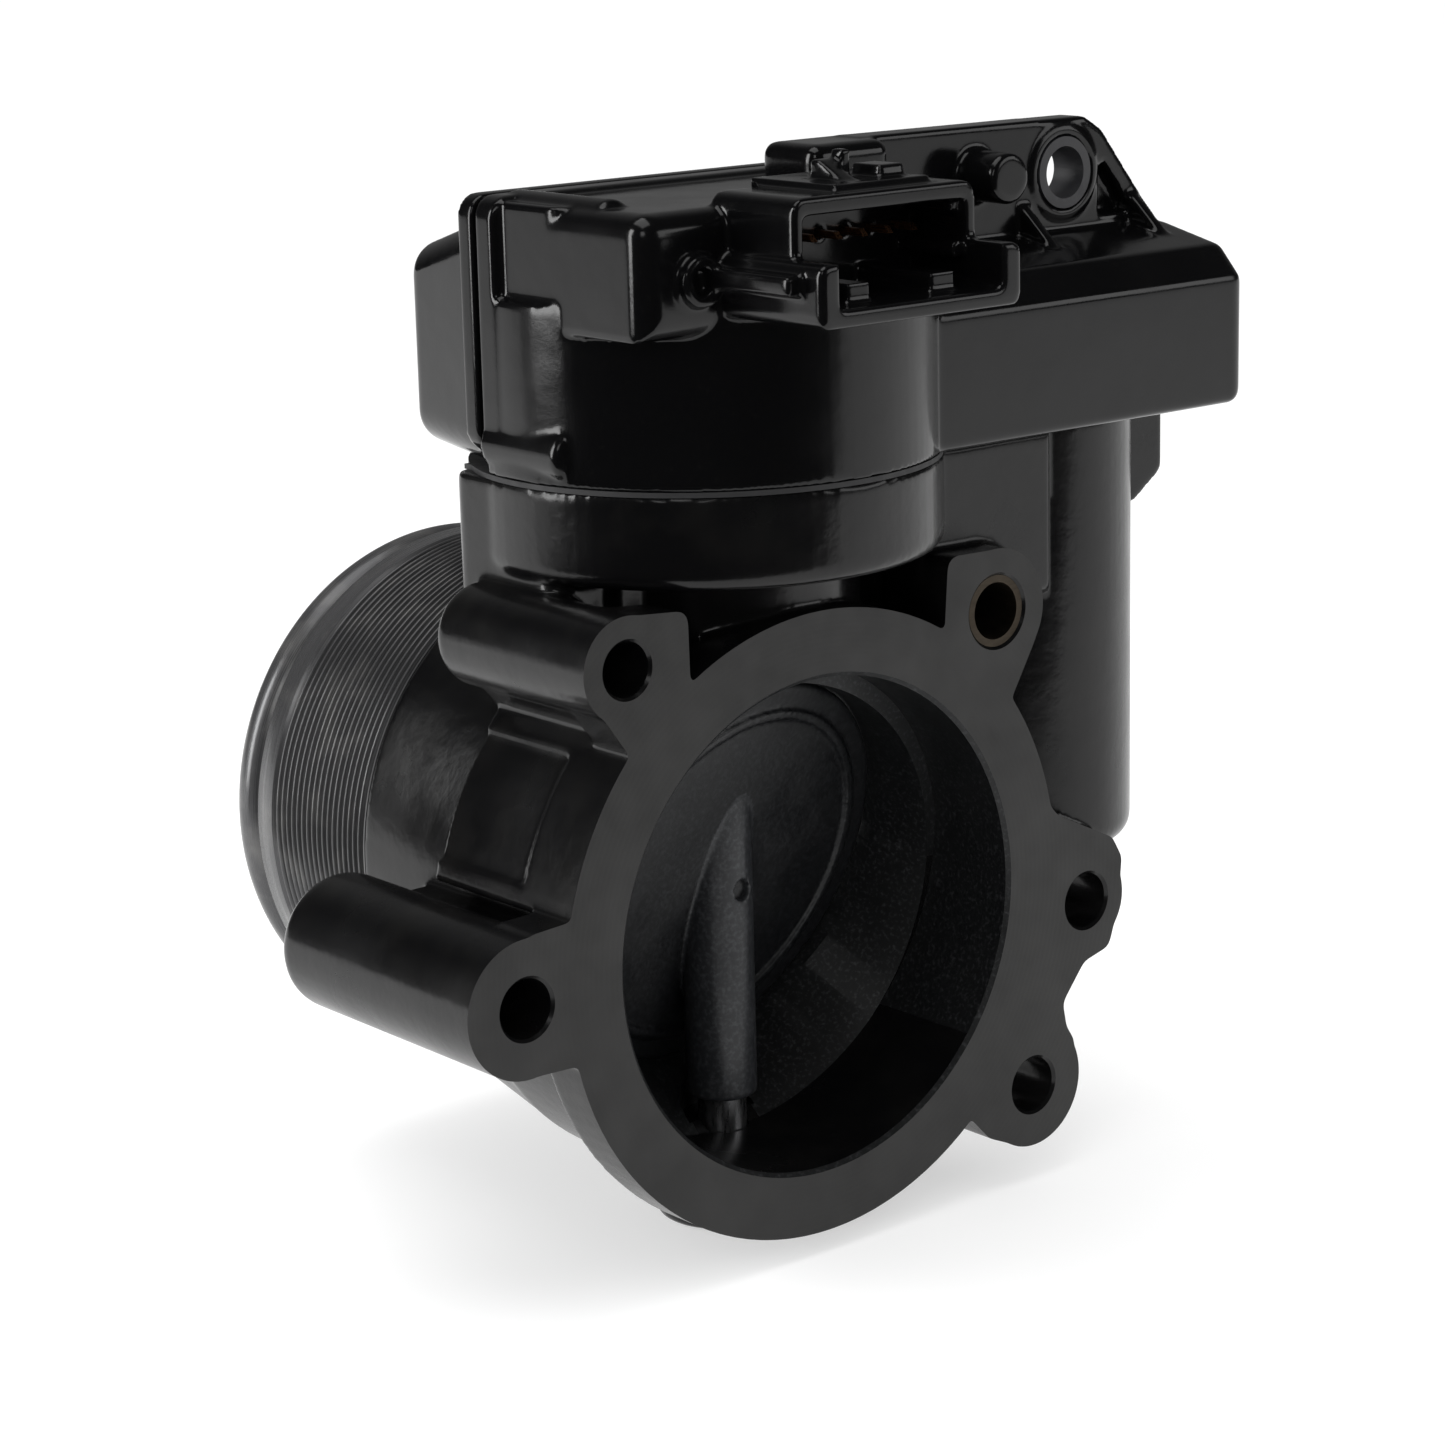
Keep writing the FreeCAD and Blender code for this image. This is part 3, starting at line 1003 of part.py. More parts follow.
def electronics():
    turned("magnet_holder", [
        (0, 0), (0, 8.4), ("holder_radius - 1.2", 8.4), ("holder_radius - 1.2", 9.6), ("holder_radius", 9.6),
        ("holder_radius", 0)], (0, "shaft_y", "shaft_high"))
    turned("sensor_magnet", [
        (0, 0), (0, 1.8), ("holder_radius - 1.3", 1.8), ("holder_radius - 1.3", 0)],
        (0, "shaft_y", "shaft_high + 8.5"))
    top = "board_low + board_thick"
    outline = [(-19.6, 1.2), (16.4, 1.2), (16.4, 32), (-13.8, 32), (-13.8, 13.4), (-19.6, 13.4)]
    board = prism(outline, "board_low", "board_thick", "Z", 1.5)
    holes = []
    for x in pin_places():
        holes.append(box((x - 0.6, 4.4, 76), (x + 0.6, 5.6, 80)))
    keep("circuit_board", cut(board, holes))
    chip = box((-3.2, 17.4, "board_low - 1.5"), (3.2, 22.6, "board_low"))
    keep("position_sensor_chip", rounded(chip, 0.25))
    chips = [rounded(box((x - a, y - b, top), (x + a, y + b, "board_low + board_thick + %s" % rise)), 0.2)
             for x, y, a, b, rise in (
                 (-9.5, 16, 3.5, 3.5, 1.4), (8, 22, 4.5, 3.0, 1.6), (-10.5, 27, 2.6, 4.0, 1.4),
                 (14.6, 22, 1.4, 1.4, 1.2), (4, 28, 1.6, 0.9, 1.0), (-3, 12, 1.6, 0.9, 1.0))]
    chips.append(rounded(cylinder((13, 9, top), 3.0, 3.2), 0.3, lambda e: len(e.Vertexes) == 1))
    keep("board_components", compound(chips))


def small_hardware():
    turned("dowel_sleeve", [
        ("bolt_hole_radius", 0), ("bolt_hole_radius", 10.6), ("sleeve_radius", 10.6), ("sleeve_radius", 0)],
        polar_place(LOBES[2], 0.3), ALONG_Y)
    turned("ear_bush", [
        ("ear_hole_radius", 0), ("ear_hole_radius", "ear_bush_length"),
        ("ear_bush_radius", "ear_bush_length"), ("ear_bush_radius", 0)],
        ("ear_hole_x", "ear_bush_front", "ear_hole_z"), ALONG_Y)


def polar_place(lobe, y):
    x, z = lobe_centre(lobe)
    return (x, y, z)


# ---------------------------------------------------------------- build, test and write


def check_and_write():
    DOC.recompute()
    bad = [item.Label for item in DOC.Objects if "Invalid" in item.State or "Error" in item.State]
    if bad:
        raise RuntimeError("objects failed: " + ", ".join(bad))
    os.makedirs("parts", exist_ok=True)
    for item in NODES:
        shape = item.Shape
        if shape.isNull() or not shape.isValid() or not shape.Solids:
            raise RuntimeError("bad shape: " + item.Label)
        print("%-26s solids %d volume %.1f" % (item.Label, len(shape.Solids), shape.Volume))
    for item in NODES:
        item.Shape.exportStep("parts/%s.step" % item.Label)


fill_sheet()
throttle_housing()
gear_housing()
rear_cover()
gaskets()
connector_pins()
screws()
throttle_plate()
shaft_and_bearings()
return_spring()
gears()
motor()
electronics()
small_hardware()
check_and_write()
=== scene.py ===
import json
import math

import bmesh
import bpy
from mathutils import Matrix, Vector

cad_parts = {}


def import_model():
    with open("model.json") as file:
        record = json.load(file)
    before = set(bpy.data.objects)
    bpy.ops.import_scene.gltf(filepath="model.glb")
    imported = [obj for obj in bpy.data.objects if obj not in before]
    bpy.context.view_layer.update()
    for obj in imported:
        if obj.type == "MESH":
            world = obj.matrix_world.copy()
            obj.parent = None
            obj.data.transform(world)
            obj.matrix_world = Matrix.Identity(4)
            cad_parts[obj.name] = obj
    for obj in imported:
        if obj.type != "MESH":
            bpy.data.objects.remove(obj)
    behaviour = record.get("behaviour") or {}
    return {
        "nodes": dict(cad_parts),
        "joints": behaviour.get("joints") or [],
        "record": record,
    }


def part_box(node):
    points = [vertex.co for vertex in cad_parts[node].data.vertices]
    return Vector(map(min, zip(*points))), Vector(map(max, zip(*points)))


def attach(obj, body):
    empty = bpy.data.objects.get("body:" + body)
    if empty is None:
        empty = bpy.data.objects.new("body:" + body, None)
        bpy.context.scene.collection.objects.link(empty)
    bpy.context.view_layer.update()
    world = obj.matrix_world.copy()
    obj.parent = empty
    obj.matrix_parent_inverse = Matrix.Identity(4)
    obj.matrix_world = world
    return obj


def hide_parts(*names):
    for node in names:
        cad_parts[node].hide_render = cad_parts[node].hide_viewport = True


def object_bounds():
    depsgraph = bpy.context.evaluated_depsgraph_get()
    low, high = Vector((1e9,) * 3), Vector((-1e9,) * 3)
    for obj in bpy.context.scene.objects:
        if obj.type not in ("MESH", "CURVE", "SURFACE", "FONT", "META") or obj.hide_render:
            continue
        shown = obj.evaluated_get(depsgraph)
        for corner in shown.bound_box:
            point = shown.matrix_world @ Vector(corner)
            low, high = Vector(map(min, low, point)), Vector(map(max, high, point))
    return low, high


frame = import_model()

# Looks of an electronic throttle body. The CAD frame gives every place and size. The casting, the
# case, the cover and the butterfly are rebuilt here with soft moulded edges and crisp machined ones;
# the other pieces keep their CAD meshes. Metres throughout, in the frame's own axes.

CAD_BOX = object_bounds()
NODES = frame["nodes"]
MOUNTS = {mount["name"]: mount for mount in frame["record"]["mounts"]}
JOINTS = {joint["name"]: joint for joint in frame["joints"]}
MM = 0.001


def dims_of(mount):
    """A mount's place, radius and length in metres."""
    sizes = MOUNTS[mount]["dims"]
    return Vector(MOUNTS[mount]["pos_m"]), sizes["r_mm"] * MM, sizes["length_mm"] * MM


# ---------------------------------------------------------------- materials


def new_material(name, color, metallic, roughness, coat=0.0, gloss=0.5):
    material = bpy.data.materials.new(name)
    material.use_nodes = True
    shader = material.node_tree.nodes["Principled BSDF"]
    shader.inputs["Base Color"].default_value = (*color, 1)
    shader.inputs["Metallic"].default_value = metallic
    shader.inputs["Roughness"].default_value = roughness
    shader.inputs["Specular IOR Level"].default_value = gloss
    shader.inputs["Coat Weight"].default_value = coat
    shader.inputs["Coat Roughness"].default_value = 0.08
    return material


def noise(material, scale, detail=4.0, stretch=(1, 1, 1)):
    """Noise in the frame's own space, so that its grain has a true size. Scale is in waves a metre."""
    tree = material.node_tree
    place = tree.nodes.new("ShaderNodeTexCoord")
    mapping = tree.nodes.new("ShaderNodeMapping")
    mapping.inputs["Scale"].default_value = stretch
    texture = tree.nodes.new("ShaderNodeTexNoise")
    texture.inputs["Scale"].default_value = scale
    texture.inputs["Detail"].default_value = detail
    tree.links.new(place.outputs["Object"], mapping.inputs["Vector"])
    tree.links.new(mapping.outputs["Vector"], texture.inputs["Vector"])
    return texture.outputs["Fac"]


def ramp(material, value, low, high, start, end):
    """Turns a value between low and high into a number or a colour between start and end."""
    tree = material.node_tree
    if isinstance(start, tuple):
        node = tree.nodes.new("ShaderNodeValToRGB")
        node.color_ramp.elements[0].position = low
        node.color_ramp.elements[0].color = (*start, 1)
        node.color_ramp.elements[1].position = high
        node.color_ramp.elements[1].color = (*end, 1)
        tree.links.new(value, node.inputs["Fac"])
        return node.outputs["Color"]
    node = tree.nodes.new("ShaderNodeMapRange")
    for name, number in (("From Min", low), ("From Max", high), ("To Min", start), ("To Max", end)):
        node.inputs[name].default_value = number
    tree.links.new(value, node.inputs["Value"])
    return node.outputs["Result"]


def drive(material, socket, value):
    shader = material.node_tree.nodes["Principled BSDF"]
    material.node_tree.links.new(value, shader.inputs[socket])


def add_bump(material, heights):
    """Adds bumps, given as (height value, depth in metres) pairs, one over the other."""
    tree = material.node_tree
    below = None
    for value, depth in heights:
        bump = tree.nodes.new("ShaderNodeBump")
        bump.inputs["Strength"].default_value = 1.0
        bump.inputs["Distance"].default_value = depth
        tree.links.new(value, bump.inputs["Height"])
        if below is not None:
            tree.links.new(below, bump.inputs["Normal"])
        below = bump.outputs["Normal"]
    drive(material, "Normal", below)


def coated_casting():
    """Gloss black coat over a die casting: slight orange peel, faint flow marks and dull patches."""
    material = new_material("coated_casting", (0.003, 0.003, 0.0033), 0.0, 0.25, coat=0.06, gloss=0.3)
    patches = noise(material, 60, 6)
    drive(material, "Roughness", ramp(material, patches, 0.3, 0.7, 0.16, 0.30))
    tint = ramp(material, noise(material, 140, 8), 0.45, 0.75,
                (0.0018, 0.0018, 0.002), (0.0045, 0.0043, 0.0041))
    drive(material, "Base Color", tint)
    add_bump(material, [(noise(material, 260, 3), 0.00006), (noise(material, 1500, 4), 0.000012)])
    return material


def machined_face():
    """Milled face under a thin brown-black film, with the fine arcs that the cutter left."""
    material = new_material("machined_face", (0.018, 0.0178, 0.0175), 0.45, 0.36)
    tree = material.node_tree
    place = tree.nodes.new("ShaderNodeTexCoord")
    rings = tree.nodes.new("ShaderNodeTexWave")
    rings.wave_type = "RINGS"
    rings.rings_direction = "Y"
    rings.inputs["Scale"].default_value = 420
    rings.inputs["Distortion"].default_value = 0.6
    tree.links.new(place.outputs["Object"], rings.inputs["Vector"])
    stains = noise(material, 90, 7)
    tint = ramp(material, stains, 0.3, 0.75, (0.011, 0.0109, 0.0107), (0.021, 0.0207, 0.0203))
    drive(material, "Base Color", tint)
    drive(material, "Roughness", ramp(material, noise(material, 300, 5), 0.3, 0.7, 0.30, 0.44))
    add_bump(material, [(rings.outputs["Fac"], 0.000003), (noise(material, 2600, 2), 0.000004)])
    return material


def bore_film():
    """Inside of the air way: a dull dark film with fine specks and turning lines."""
    material = new_material("bore_film", (0.018, 0.019, 0.021), 0.35, 0.42)
    specks = noise(material, 2200, 8)
    tint = ramp(material, specks, 0.52, 0.72, (0.006, 0.0065, 0.007), (0.030, 0.031, 0.033))
    drive(material, "Base Color", tint)
    drive(material, "Roughness", ramp(material, noise(material, 120, 5), 0.3, 0.7, 0.34, 0.5))
    lines = noise(material, 500, 4, (0.2, 6, 0.2))
    add_bump(material, [(lines, 0.00001), (noise(material, 3000, 3), 0.000012)])
    return material


def turned_black():
    """Turned spigot under the black coat: satin, with fine lines round the axis."""
    material = new_material("turned_black", (0.07, 0.07, 0.072), 0.6, 0.28, coat=0.1)
    lines = noise(material, 900, 3, (0.05, 8, 0.05))
    drive(material, "Roughness", ramp(material, lines, 0.3, 0.7, 0.2, 0.38))
    wear = ramp(material, noise(material, 200, 6), 0.5, 0.8, (0.072, 0.072, 0.074), (0.135, 0.133, 0.130))
    drive(material, "Base Color", wear)
    add_bump(material, [(lines, 0.000008)])
    return material


def moulded_black():
    """Gloss black moulded case: near-smooth skin with soft sink marks and a little dust."""
    material = new_material("moulded_black", (0.003, 0.003, 0.0033), 0.0, 0.2, coat=0.06, gloss=0.28)
    drive(material, "Roughness", ramp(material, noise(material, 80, 6), 0.3, 0.7, 0.09, 0.22))
    dust = ramp(material, noise(material, 1800, 8), 0.62, 0.85,
                (0.0018, 0.0018, 0.002), (0.006, 0.0058, 0.0055))
    drive(material, "Base Color", dust)
    add_bump(material, [(noise(material, 120, 2), 0.00008), (noise(material, 1700, 3), 0.000006)])
    return material


def plate_film(name, dark, pale):
    """Butterfly coat: dark grey and dull, with fine pale specks."""
    material = new_material(name, dark, 0.25, 0.4)
    specks = noise(material, 1800, 9)
    drive(material, "Base Color", ramp(material, specks, 0.45, 0.8, dark, pale))
    drive(material, "Roughness", ramp(material, noise(material, 150, 5), 0.3, 0.7, 0.30, 0.5))
    add_bump(material, [(noise(material, 400, 4), 0.00003), (noise(material, 2600, 3), 0.00001)])
    return material


def steel(name, color, roughness, grain=(0.1, 0.1, 1)):
    """Bright metal with fine drawn or turned lines and light stains."""
    material = new_material(name, color, 1.0, roughness)
    lines = noise(material, 5000, 2, grain)
    drive(material, "Roughness", ramp(material, lines, 0.3, 0.7, roughness * 0.75, roughness * 1.35))
    dark = tuple(part * 0.72 for part in color)
    drive(material, "Base Color", ramp(material, noise(material, 220, 6), 0.35, 0.7, dark, color))
    add_bump(material, [(lines, 0.000004)])
    return material


def plastic(name, color, roughness):
    """Moulded plastic with a fine eroded texture and slight mottling."""
    material = new_material(name, color, 0.0, roughness)
    dark = tuple(part * 0.82 for part in color)
    drive(material, "Base Color", ramp(material, noise(material, 350, 6), 0.3, 0.7, dark, color))
    drive(material, "Roughness", ramp(material, noise(material, 700, 4), 0.3, 0.7,
                                      roughness - 0.06, roughness + 0.08))
    add_bump(material, [(noise(material, 3000, 3), 0.000012)])
    return material


LOOKS = {
    "coated_casting": coated_casting(),
    "machined_face": machined_face(),
    "bore_film": bore_film(),
    "turned_black": turned_black(),
    "black_case": moulded_black(),
    "plate_grey": plate_film("plate_film", (0.004, 0.0044, 0.0052), (0.018, 0.019, 0.021)),
    # The hub's coat is the plate's coat painted paler: painted light on the hub.
    "hub_painted_highlight": plate_film("hub_painted_highlight", (0.016, 0.017, 0.019), (0.046, 0.048, 0.052)),
    "gasket_rubber": plastic("gasket_rubber", (0.016, 0.016, 0.017), 0.62),
    "pin_copper": steel("pin_copper", (0.50, 0.25, 0.13), 0.28, (1, 0.1, 1)),
    "screw_steel": steel("screw_steel", (0.48, 0.48, 0.50), 0.34),
    "bearing_steel": steel("bearing_steel", (0.66, 0.66, 0.68), 0.14),
    "shaft_steel": steel("shaft_steel", (0.34, 0.34, 0.35), 0.3, (1, 1, 0.1)),
    "spring_steel": steel("spring_steel", (0.30, 0.30, 0.31), 0.3),
    "motor_steel": steel("motor_steel", (0.50, 0.50, 0.51), 0.36, (1, 1, 0.1)),
    "sleeve_bronze": steel("sleeve_bronze", (0.055, 0.045, 0.034), 0.42),
    "gear_brass": steel("gear_brass", (0.62, 0.46, 0.22), 0.3),
    "magnet_grey": plastic("magnet_grey", (0.09, 0.09, 0.10), 0.55),
    "armature_core": plastic("armature_core", (0.17, 0.12, 0.09), 0.5),
    "natural_plastic": plastic("natural_plastic", (0.62, 0.60, 0.52), 0.42),
    "dark_plastic": plastic("dark_plastic", (0.022, 0.022, 0.025), 0.45),
    "board_green": plastic("board_green", (0.012, 0.10, 0.045), 0.3),
}


# ---------------------------------------------------------------- mesh tools


def add_object(name, mesh):
    piece = bpy.data.objects.new(name, mesh)
    bpy.context.scene.collection.objects.link(piece)
    return piece


def settle(piece):
    """Applies the piece's modifiers to its mesh."""
    graph = bpy.context.evaluated_depsgraph_get()
    mesh = bpy.data.meshes.new_from_object(piece.evaluated_get(graph))
    piece.modifiers.clear()
    piece.data = mesh


def copy_of(node, name):
    """A new piece that starts as a CAD node's mesh, with its split corners joined up."""
    mesh = NODES[node].data.copy()
    mesh.materials.clear()
    shape = bmesh.new()
    shape.from_mesh(mesh)
    bmesh.ops.remove_doubles(shape, verts=shape.verts, dist=2e-6)
    shape.to_mesh(mesh)
    shape.free()
    return add_object(name, mesh)


def soften(piece, grain, passes):
    """Remeshes the piece evenly and rounds its corners off as a mould does. Grain is the mesh's step."""
    remesh = piece.modifiers.new("even", "REMESH")
    remesh.mode = "VOXEL"
    remesh.voxel_size = grain
    smooth = piece.modifiers.new("soft", "SMOOTH")
    smooth.factor = 0.5
    smooth.iterations = passes
    settle(piece)


def along(start, direction):
    """Matrix that puts a lathe's axis, its own Z, along a direction from a start."""
    return Matrix.Translation(start) @ Vector(direction).to_track_quat("Z", "Y").to_matrix().to_4x4()


def lathe(name, profile, matrix, steps=160, closed=False):
    """Spins a profile of (radius, height) points. An open profile starts and ends on the axis."""
    shape = bmesh.new()
    rings = []
    for radius, height in profile:
        if radius < 1e-9:
            rings.append([shape.verts.new((0, 0, height))])
            continue
        ring = []
        for step in range(steps):
            turn = 2 * math.pi * step / steps
            ring.append(shape.verts.new((radius * math.cos(turn), radius * math.sin(turn), height)))
        rings.append(ring)
    pairs = list(zip(rings, rings[1:]))
    if closed:
        pairs.append((rings[-1], rings[0]))
    for low, high in pairs:
        for step in range(steps):
            after = (step + 1) % steps
            if len(low) == 1:
                shape.faces.new((low[0], high[after], high[step]))
            elif len(high) == 1:
                shape.faces.new((low[step], low[after], high[0]))
            else:
                shape.faces.new((low[step], low[after], high[after], high[step]))
    bmesh.ops.recalc_face_normals(shape, faces=shape.faces)
    shape.transform(matrix)
    mesh = bpy.data.meshes.new(name)
    shape.to_mesh(mesh)
    shape.free()
    return add_object(name, mesh)


def rod(name, start, direction, radius, length, steps=160, end_radius=None):
    """A closed cylinder or cone, used as filler or as a cutter."""
    top = radius if end_radius is None else end_radius
    return lathe(name, [(0, 0), (radius, 0), (top, length), (0, length)], along(start, direction), steps)


def slice_off(piece, point, normal):
    """Cuts away what lies on the normal's side of a plane and closes the cut with a flat face."""
    shape = bmesh.new()
    shape.from_mesh(piece.data)
    everything = shape.verts[:] + shape.edges[:] + shape.faces[:]
    cut = bmesh.ops.bisect_plane(shape, geom=everything, dist=1e-8, plane_co=point, plane_no=normal,
                                 clear_outer=True)
    rim = [item for item in cut["geom_cut"] if isinstance(item, bmesh.types.BMEdge)]
    bmesh.ops.triangle_fill(shape, use_beauty=True, use_dissolve=False, edges=rim, normal=normal)
    shape.to_mesh(piece.data)
    shape.free()


def merge(piece, others):
    """Joins other closed meshes into the piece, for a remesh to weld together."""
    shape = bmesh.new()
    shape.from_mesh(piece.data)
    for other in others:
        shape.from_mesh(other.data)
        bpy.data.objects.remove(other)
    shape.to_mesh(piece.data)
    shape.free()


def drill(piece, cutters):
    """Takes the cutters out of the piece and leaves crisp edges."""
    for cutter in cutters:
        modifier = piece.modifiers.new("drill", "BOOLEAN")
        modifier.operation = "DIFFERENCE"
        modifier.solver = "MANIFOLD"
        modifier.object = cutter
    settle(piece)
    for cutter in cutters:
        bpy.data.objects.remove(cutter)


def crisp(piece, degrees=32):
    """Smooth shading that stays sharp over steep edges."""
    piece.data.polygons.foreach_set("use_smooth", [True] * len(piece.data.polygons))
    piece.data.set_sharp_from_angle(angle=math.radians(degrees))


def paint(piece, looks, choose=None):
    """Gives the piece its materials; choose says which one a face takes from its centre and normal."""
    piece.data.materials.clear()
    for look in looks:
        piece.data.materials.append(LOOKS[look])
    if choose is not None:
        for face in piece.data.polygons:
            face.material_index = choose(face.center, face.normal)


# ---------------------------------------------------------------- casting

HINGE = Vector(JOINTS["throttle_turn"]["pos_m"])
BORE_RADIUS = 30 * MM
SPIGOT, SPIGOT_BAND_RADIUS, _ = dims_of("hose_spigot")
_, SPIGOT_BORE_RADIUS, _ = dims_of("spigot_bore")
SPIGOT_AXIS = Vector((0, 0, SPIGOT.z))
INWARD = Vector((0, 1, 0))
BOLT_HOLES = [name for name in MOUNTS if name.startswith("bolt_hole")]

# The throttle section is slanted: its axis leans by SEAT_TILT from +Y, through SEAT.
SEAT_TILT = math.radians(18.5)
SEAT = Vector((0, HINGE.y, 2.6 * MM))
SEAT_AXIS = Vector((0, math.cos(SEAT_TILT), math.sin(SEAT_TILT)))
SEAT_RADIUS = 26.2 * MM
ENTRY_END = Vector((0, 13.6 * MM, 0))
ENTRY_END_TILT = math.radians(8.8)
ENTRY_END_NORMAL = Vector((0, math.cos(ENTRY_END_TILT), math.sin(ENTRY_END_TILT)))
SPIGOT_START = 46.3 * MM

# The air way: a cone leads in to the seat's throat, a second one leaves room for the swinging plate,
# and a third widens to the spigot's bore.
LEAD_IN_LENGTH = 14 * MM
LEAD_IN_RADIUS = 31.7 * MM
THROAT_LENGTH = 12.5 * MM
SWING_START = SEAT + SEAT_AXIS * 12 * MM
SWING_LENGTH = 10 * MM
SWING_END_RADIUS = 18 * MM
WIDEN_START = 27 * MM
WIDEN_LENGTH = 12 * MM
WIDEN_STEP = 3.4 * MM
WAY_OUT_START = 38.9 * MM
OVERLAP = 1e-5
FINE_STEPS = 240

# The raw casting stands proud of the flange face by an allowance. Grain is the remesh's step.
FACING_ALLOWANCE = 3 * MM
CASTING_GRAIN = 0.36 * MM
CASTING_PASSES = 9
DRUM_CLEARANCE_Z = 42.6 * MM

# Fine ridges round the spigot, a band, a groove and a rounded bead at the end.
RIDGE_COUNT = 17
RIDGE_FIRST = 47.74 * MM
RIDGE_PITCH = 1.12 * MM
RIDGE_HEIGHT = 0.6 * MM
RIDGE_TIP_RADIUS = 0.22 * MM
RIDGE_HALF_WIDTH = 0.4 * MM
BEAD_RADIUS = 2.9 * MM


def filled_casting():
    """The casting before it is machined: holes and air way filled in, the flange left too thick."""
    piece = copy_of("throttle_housing", "throttle_housing_cast")
    for vertex in piece.data.vertices:
        if abs(vertex.co.y) < 1e-6:
            vertex.co.y = -FACING_ALLOWANCE
    fillers = [
        rod("fill", (0, -FACING_ALLOWANCE, 0), INWARD, BORE_RADIUS + 1 * MM, 30 * MM),
        rod("fill", (0, 16 * MM, 2.6 * MM), INWARD, BORE_RADIUS, 22 * MM),
        rod("fill", (0, WIDEN_START, SPIGOT.z), INWARD, BORE_RADIUS, 45 * MM),
    ]
    for name in BOLT_HOLES:
        place, radius, length = dims_of(name)
        start = Vector((place.x, -FACING_ALLOWANCE, place.z))
        fillers.append(rod("fill", start, INWARD, radius + 1.4 * MM,
                           length + FACING_ALLOWANCE))
    merge(piece, fillers)
    soften(piece, CASTING_GRAIN, CASTING_PASSES)
    return piece


def air_way():
    """Cutters for the entry bore, the slanted lead-in and seat, and the way out to the spigot."""
    entry = lathe("entry", [(0, 0), (BORE_RADIUS + 5.5 * MM, 0), (BORE_RADIUS, 5.5 * MM),
                            (BORE_RADIUS, 40 * MM), (0, 40 * MM)],
                  along((0, -5 * MM, 0), INWARD), FINE_STEPS)
    slice_off(entry, ENTRY_END, ENTRY_END_NORMAL)
    lead = rod("lead", SEAT - SEAT_AXIS * LEAD_IN_LENGTH, SEAT_AXIS, LEAD_IN_RADIUS, LEAD_IN_LENGTH,
               FINE_STEPS, SEAT_RADIUS)
    slice_off(lead, ENTRY_END - ENTRY_END_NORMAL * OVERLAP, -ENTRY_END_NORMAL)
    throat = rod("throat", SEAT - SEAT_AXIS * OVERLAP, SEAT_AXIS, SEAT_RADIUS, THROAT_LENGTH,
                 FINE_STEPS)
    swing = rod("swing", SWING_START, SEAT_AXIS, SEAT_RADIUS - 1 * MM, SWING_LENGTH, FINE_STEPS,
                SWING_END_RADIUS)
    widen = rod("widen", (0, WIDEN_START, SPIGOT.z), INWARD, SPIGOT_BORE_RADIUS - WIDEN_STEP,
                WIDEN_LENGTH, FINE_STEPS, SPIGOT_BORE_RADIUS)
    way_out = rod("way_out", (0, WAY_OUT_START, SPIGOT.z), INWARD, SPIGOT_BORE_RADIUS, 50 * MM,
                  FINE_STEPS)
    return [entry, lead, throat, swing, widen, way_out]


def bolt_drills():
    drills = []
    for name in BOLT_HOLES:
        place, radius, length = dims_of(name)
        sleeve = 0.9 * MM if "sleeve" in name else 0.0
        wide = radius + sleeve
        chamfer = 0.35 * MM
        profile = [(0, -5 * MM), (wide + chamfer, -5 * MM), (wide + chamfer, 0), (wide, chamfer),
                   (wide, length + 12 * MM), (0, length + 12 * MM)]
        drills.append(lathe("bolt_drill", profile, along((place.x, 0, place.z), INWARD), 64))
    return drills


def shaft_drills():
    """The shaft's way through the wall, with a flat spot where the hub's ends run."""
    upward = Vector((0, 0, 1))
    return [rod("shaft_drill", (0, HINGE.y, -32 * MM), upward, 3.3 * MM, 70 * MM, 64),
            rod("low_spot", (0, HINGE.y, -28.6 * MM), upward, 5.2 * MM, 12 * MM, 64),
            rod("high_spot", (0, HINGE.y, 20 * MM), upward, 5.2 * MM, 9.2 * MM, 64)]


def facing_cut():
    """Takes the flange's allowance off in front of its face, and leaves the drum above it alone."""
    low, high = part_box("throttle_housing")
    mesh = bpy.data.meshes.new("facing")
    shape = bmesh.new()
    bmesh.ops.create_cube(shape, size=1)
    top = DRUM_CLEARANCE_Z
    size = Vector((high.x - low.x + 20 * MM, 20 * MM, top - low.z + 10 * MM))
    centre = Vector(((low.x + high.x) / 2, -size.y / 2, top - size.z / 2))
    shape.transform(Matrix.Translation(centre) @ Matrix.Diagonal((*size, 1)))
    shape.to_mesh(mesh)
    shape.free()
    return add_object("facing", mesh)


def casting_look(centre, normal):
    """0 coated skin, 1 machined face, 2 air way."""
    if abs(centre.y) < 1e-5 and normal.y < -0.99:
        return 1
    radius = math.hypot(centre.x, centre.z - SPIGOT.z * min(centre.y / SPIGOT_START, 1))
    facing = normal.x * centre.x + normal.z * centre.z
    if radius < BORE_RADIUS + 0.6 * MM and facing < 0 and centre.y < SPIGOT_START:
        return 2
    return 0


def casting():
    piece = filled_casting()
    slice_off(piece, (0, SPIGOT_START, 0), (0, 1, 0))
    drill(piece, [facing_cut()] + air_way() + bolt_drills() + shaft_drills())
    crisp(piece)
    paint(piece, ["coated_casting", "machined_face", "bore_film"], casting_look)
    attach(piece, "body")
    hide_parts("throttle_housing")


def arc(centre_radius, centre_height, radius, start, end, steps):
    """Points on an arc of a profile, angles in degrees from the outward direction."""
    points = []
    for step in range(steps + 1):
        turn = math.radians(start + (end - start) * step / steps)
        points.append((centre_radius + radius * math.cos(turn), centre_height + radius * math.sin(turn)))
    return points


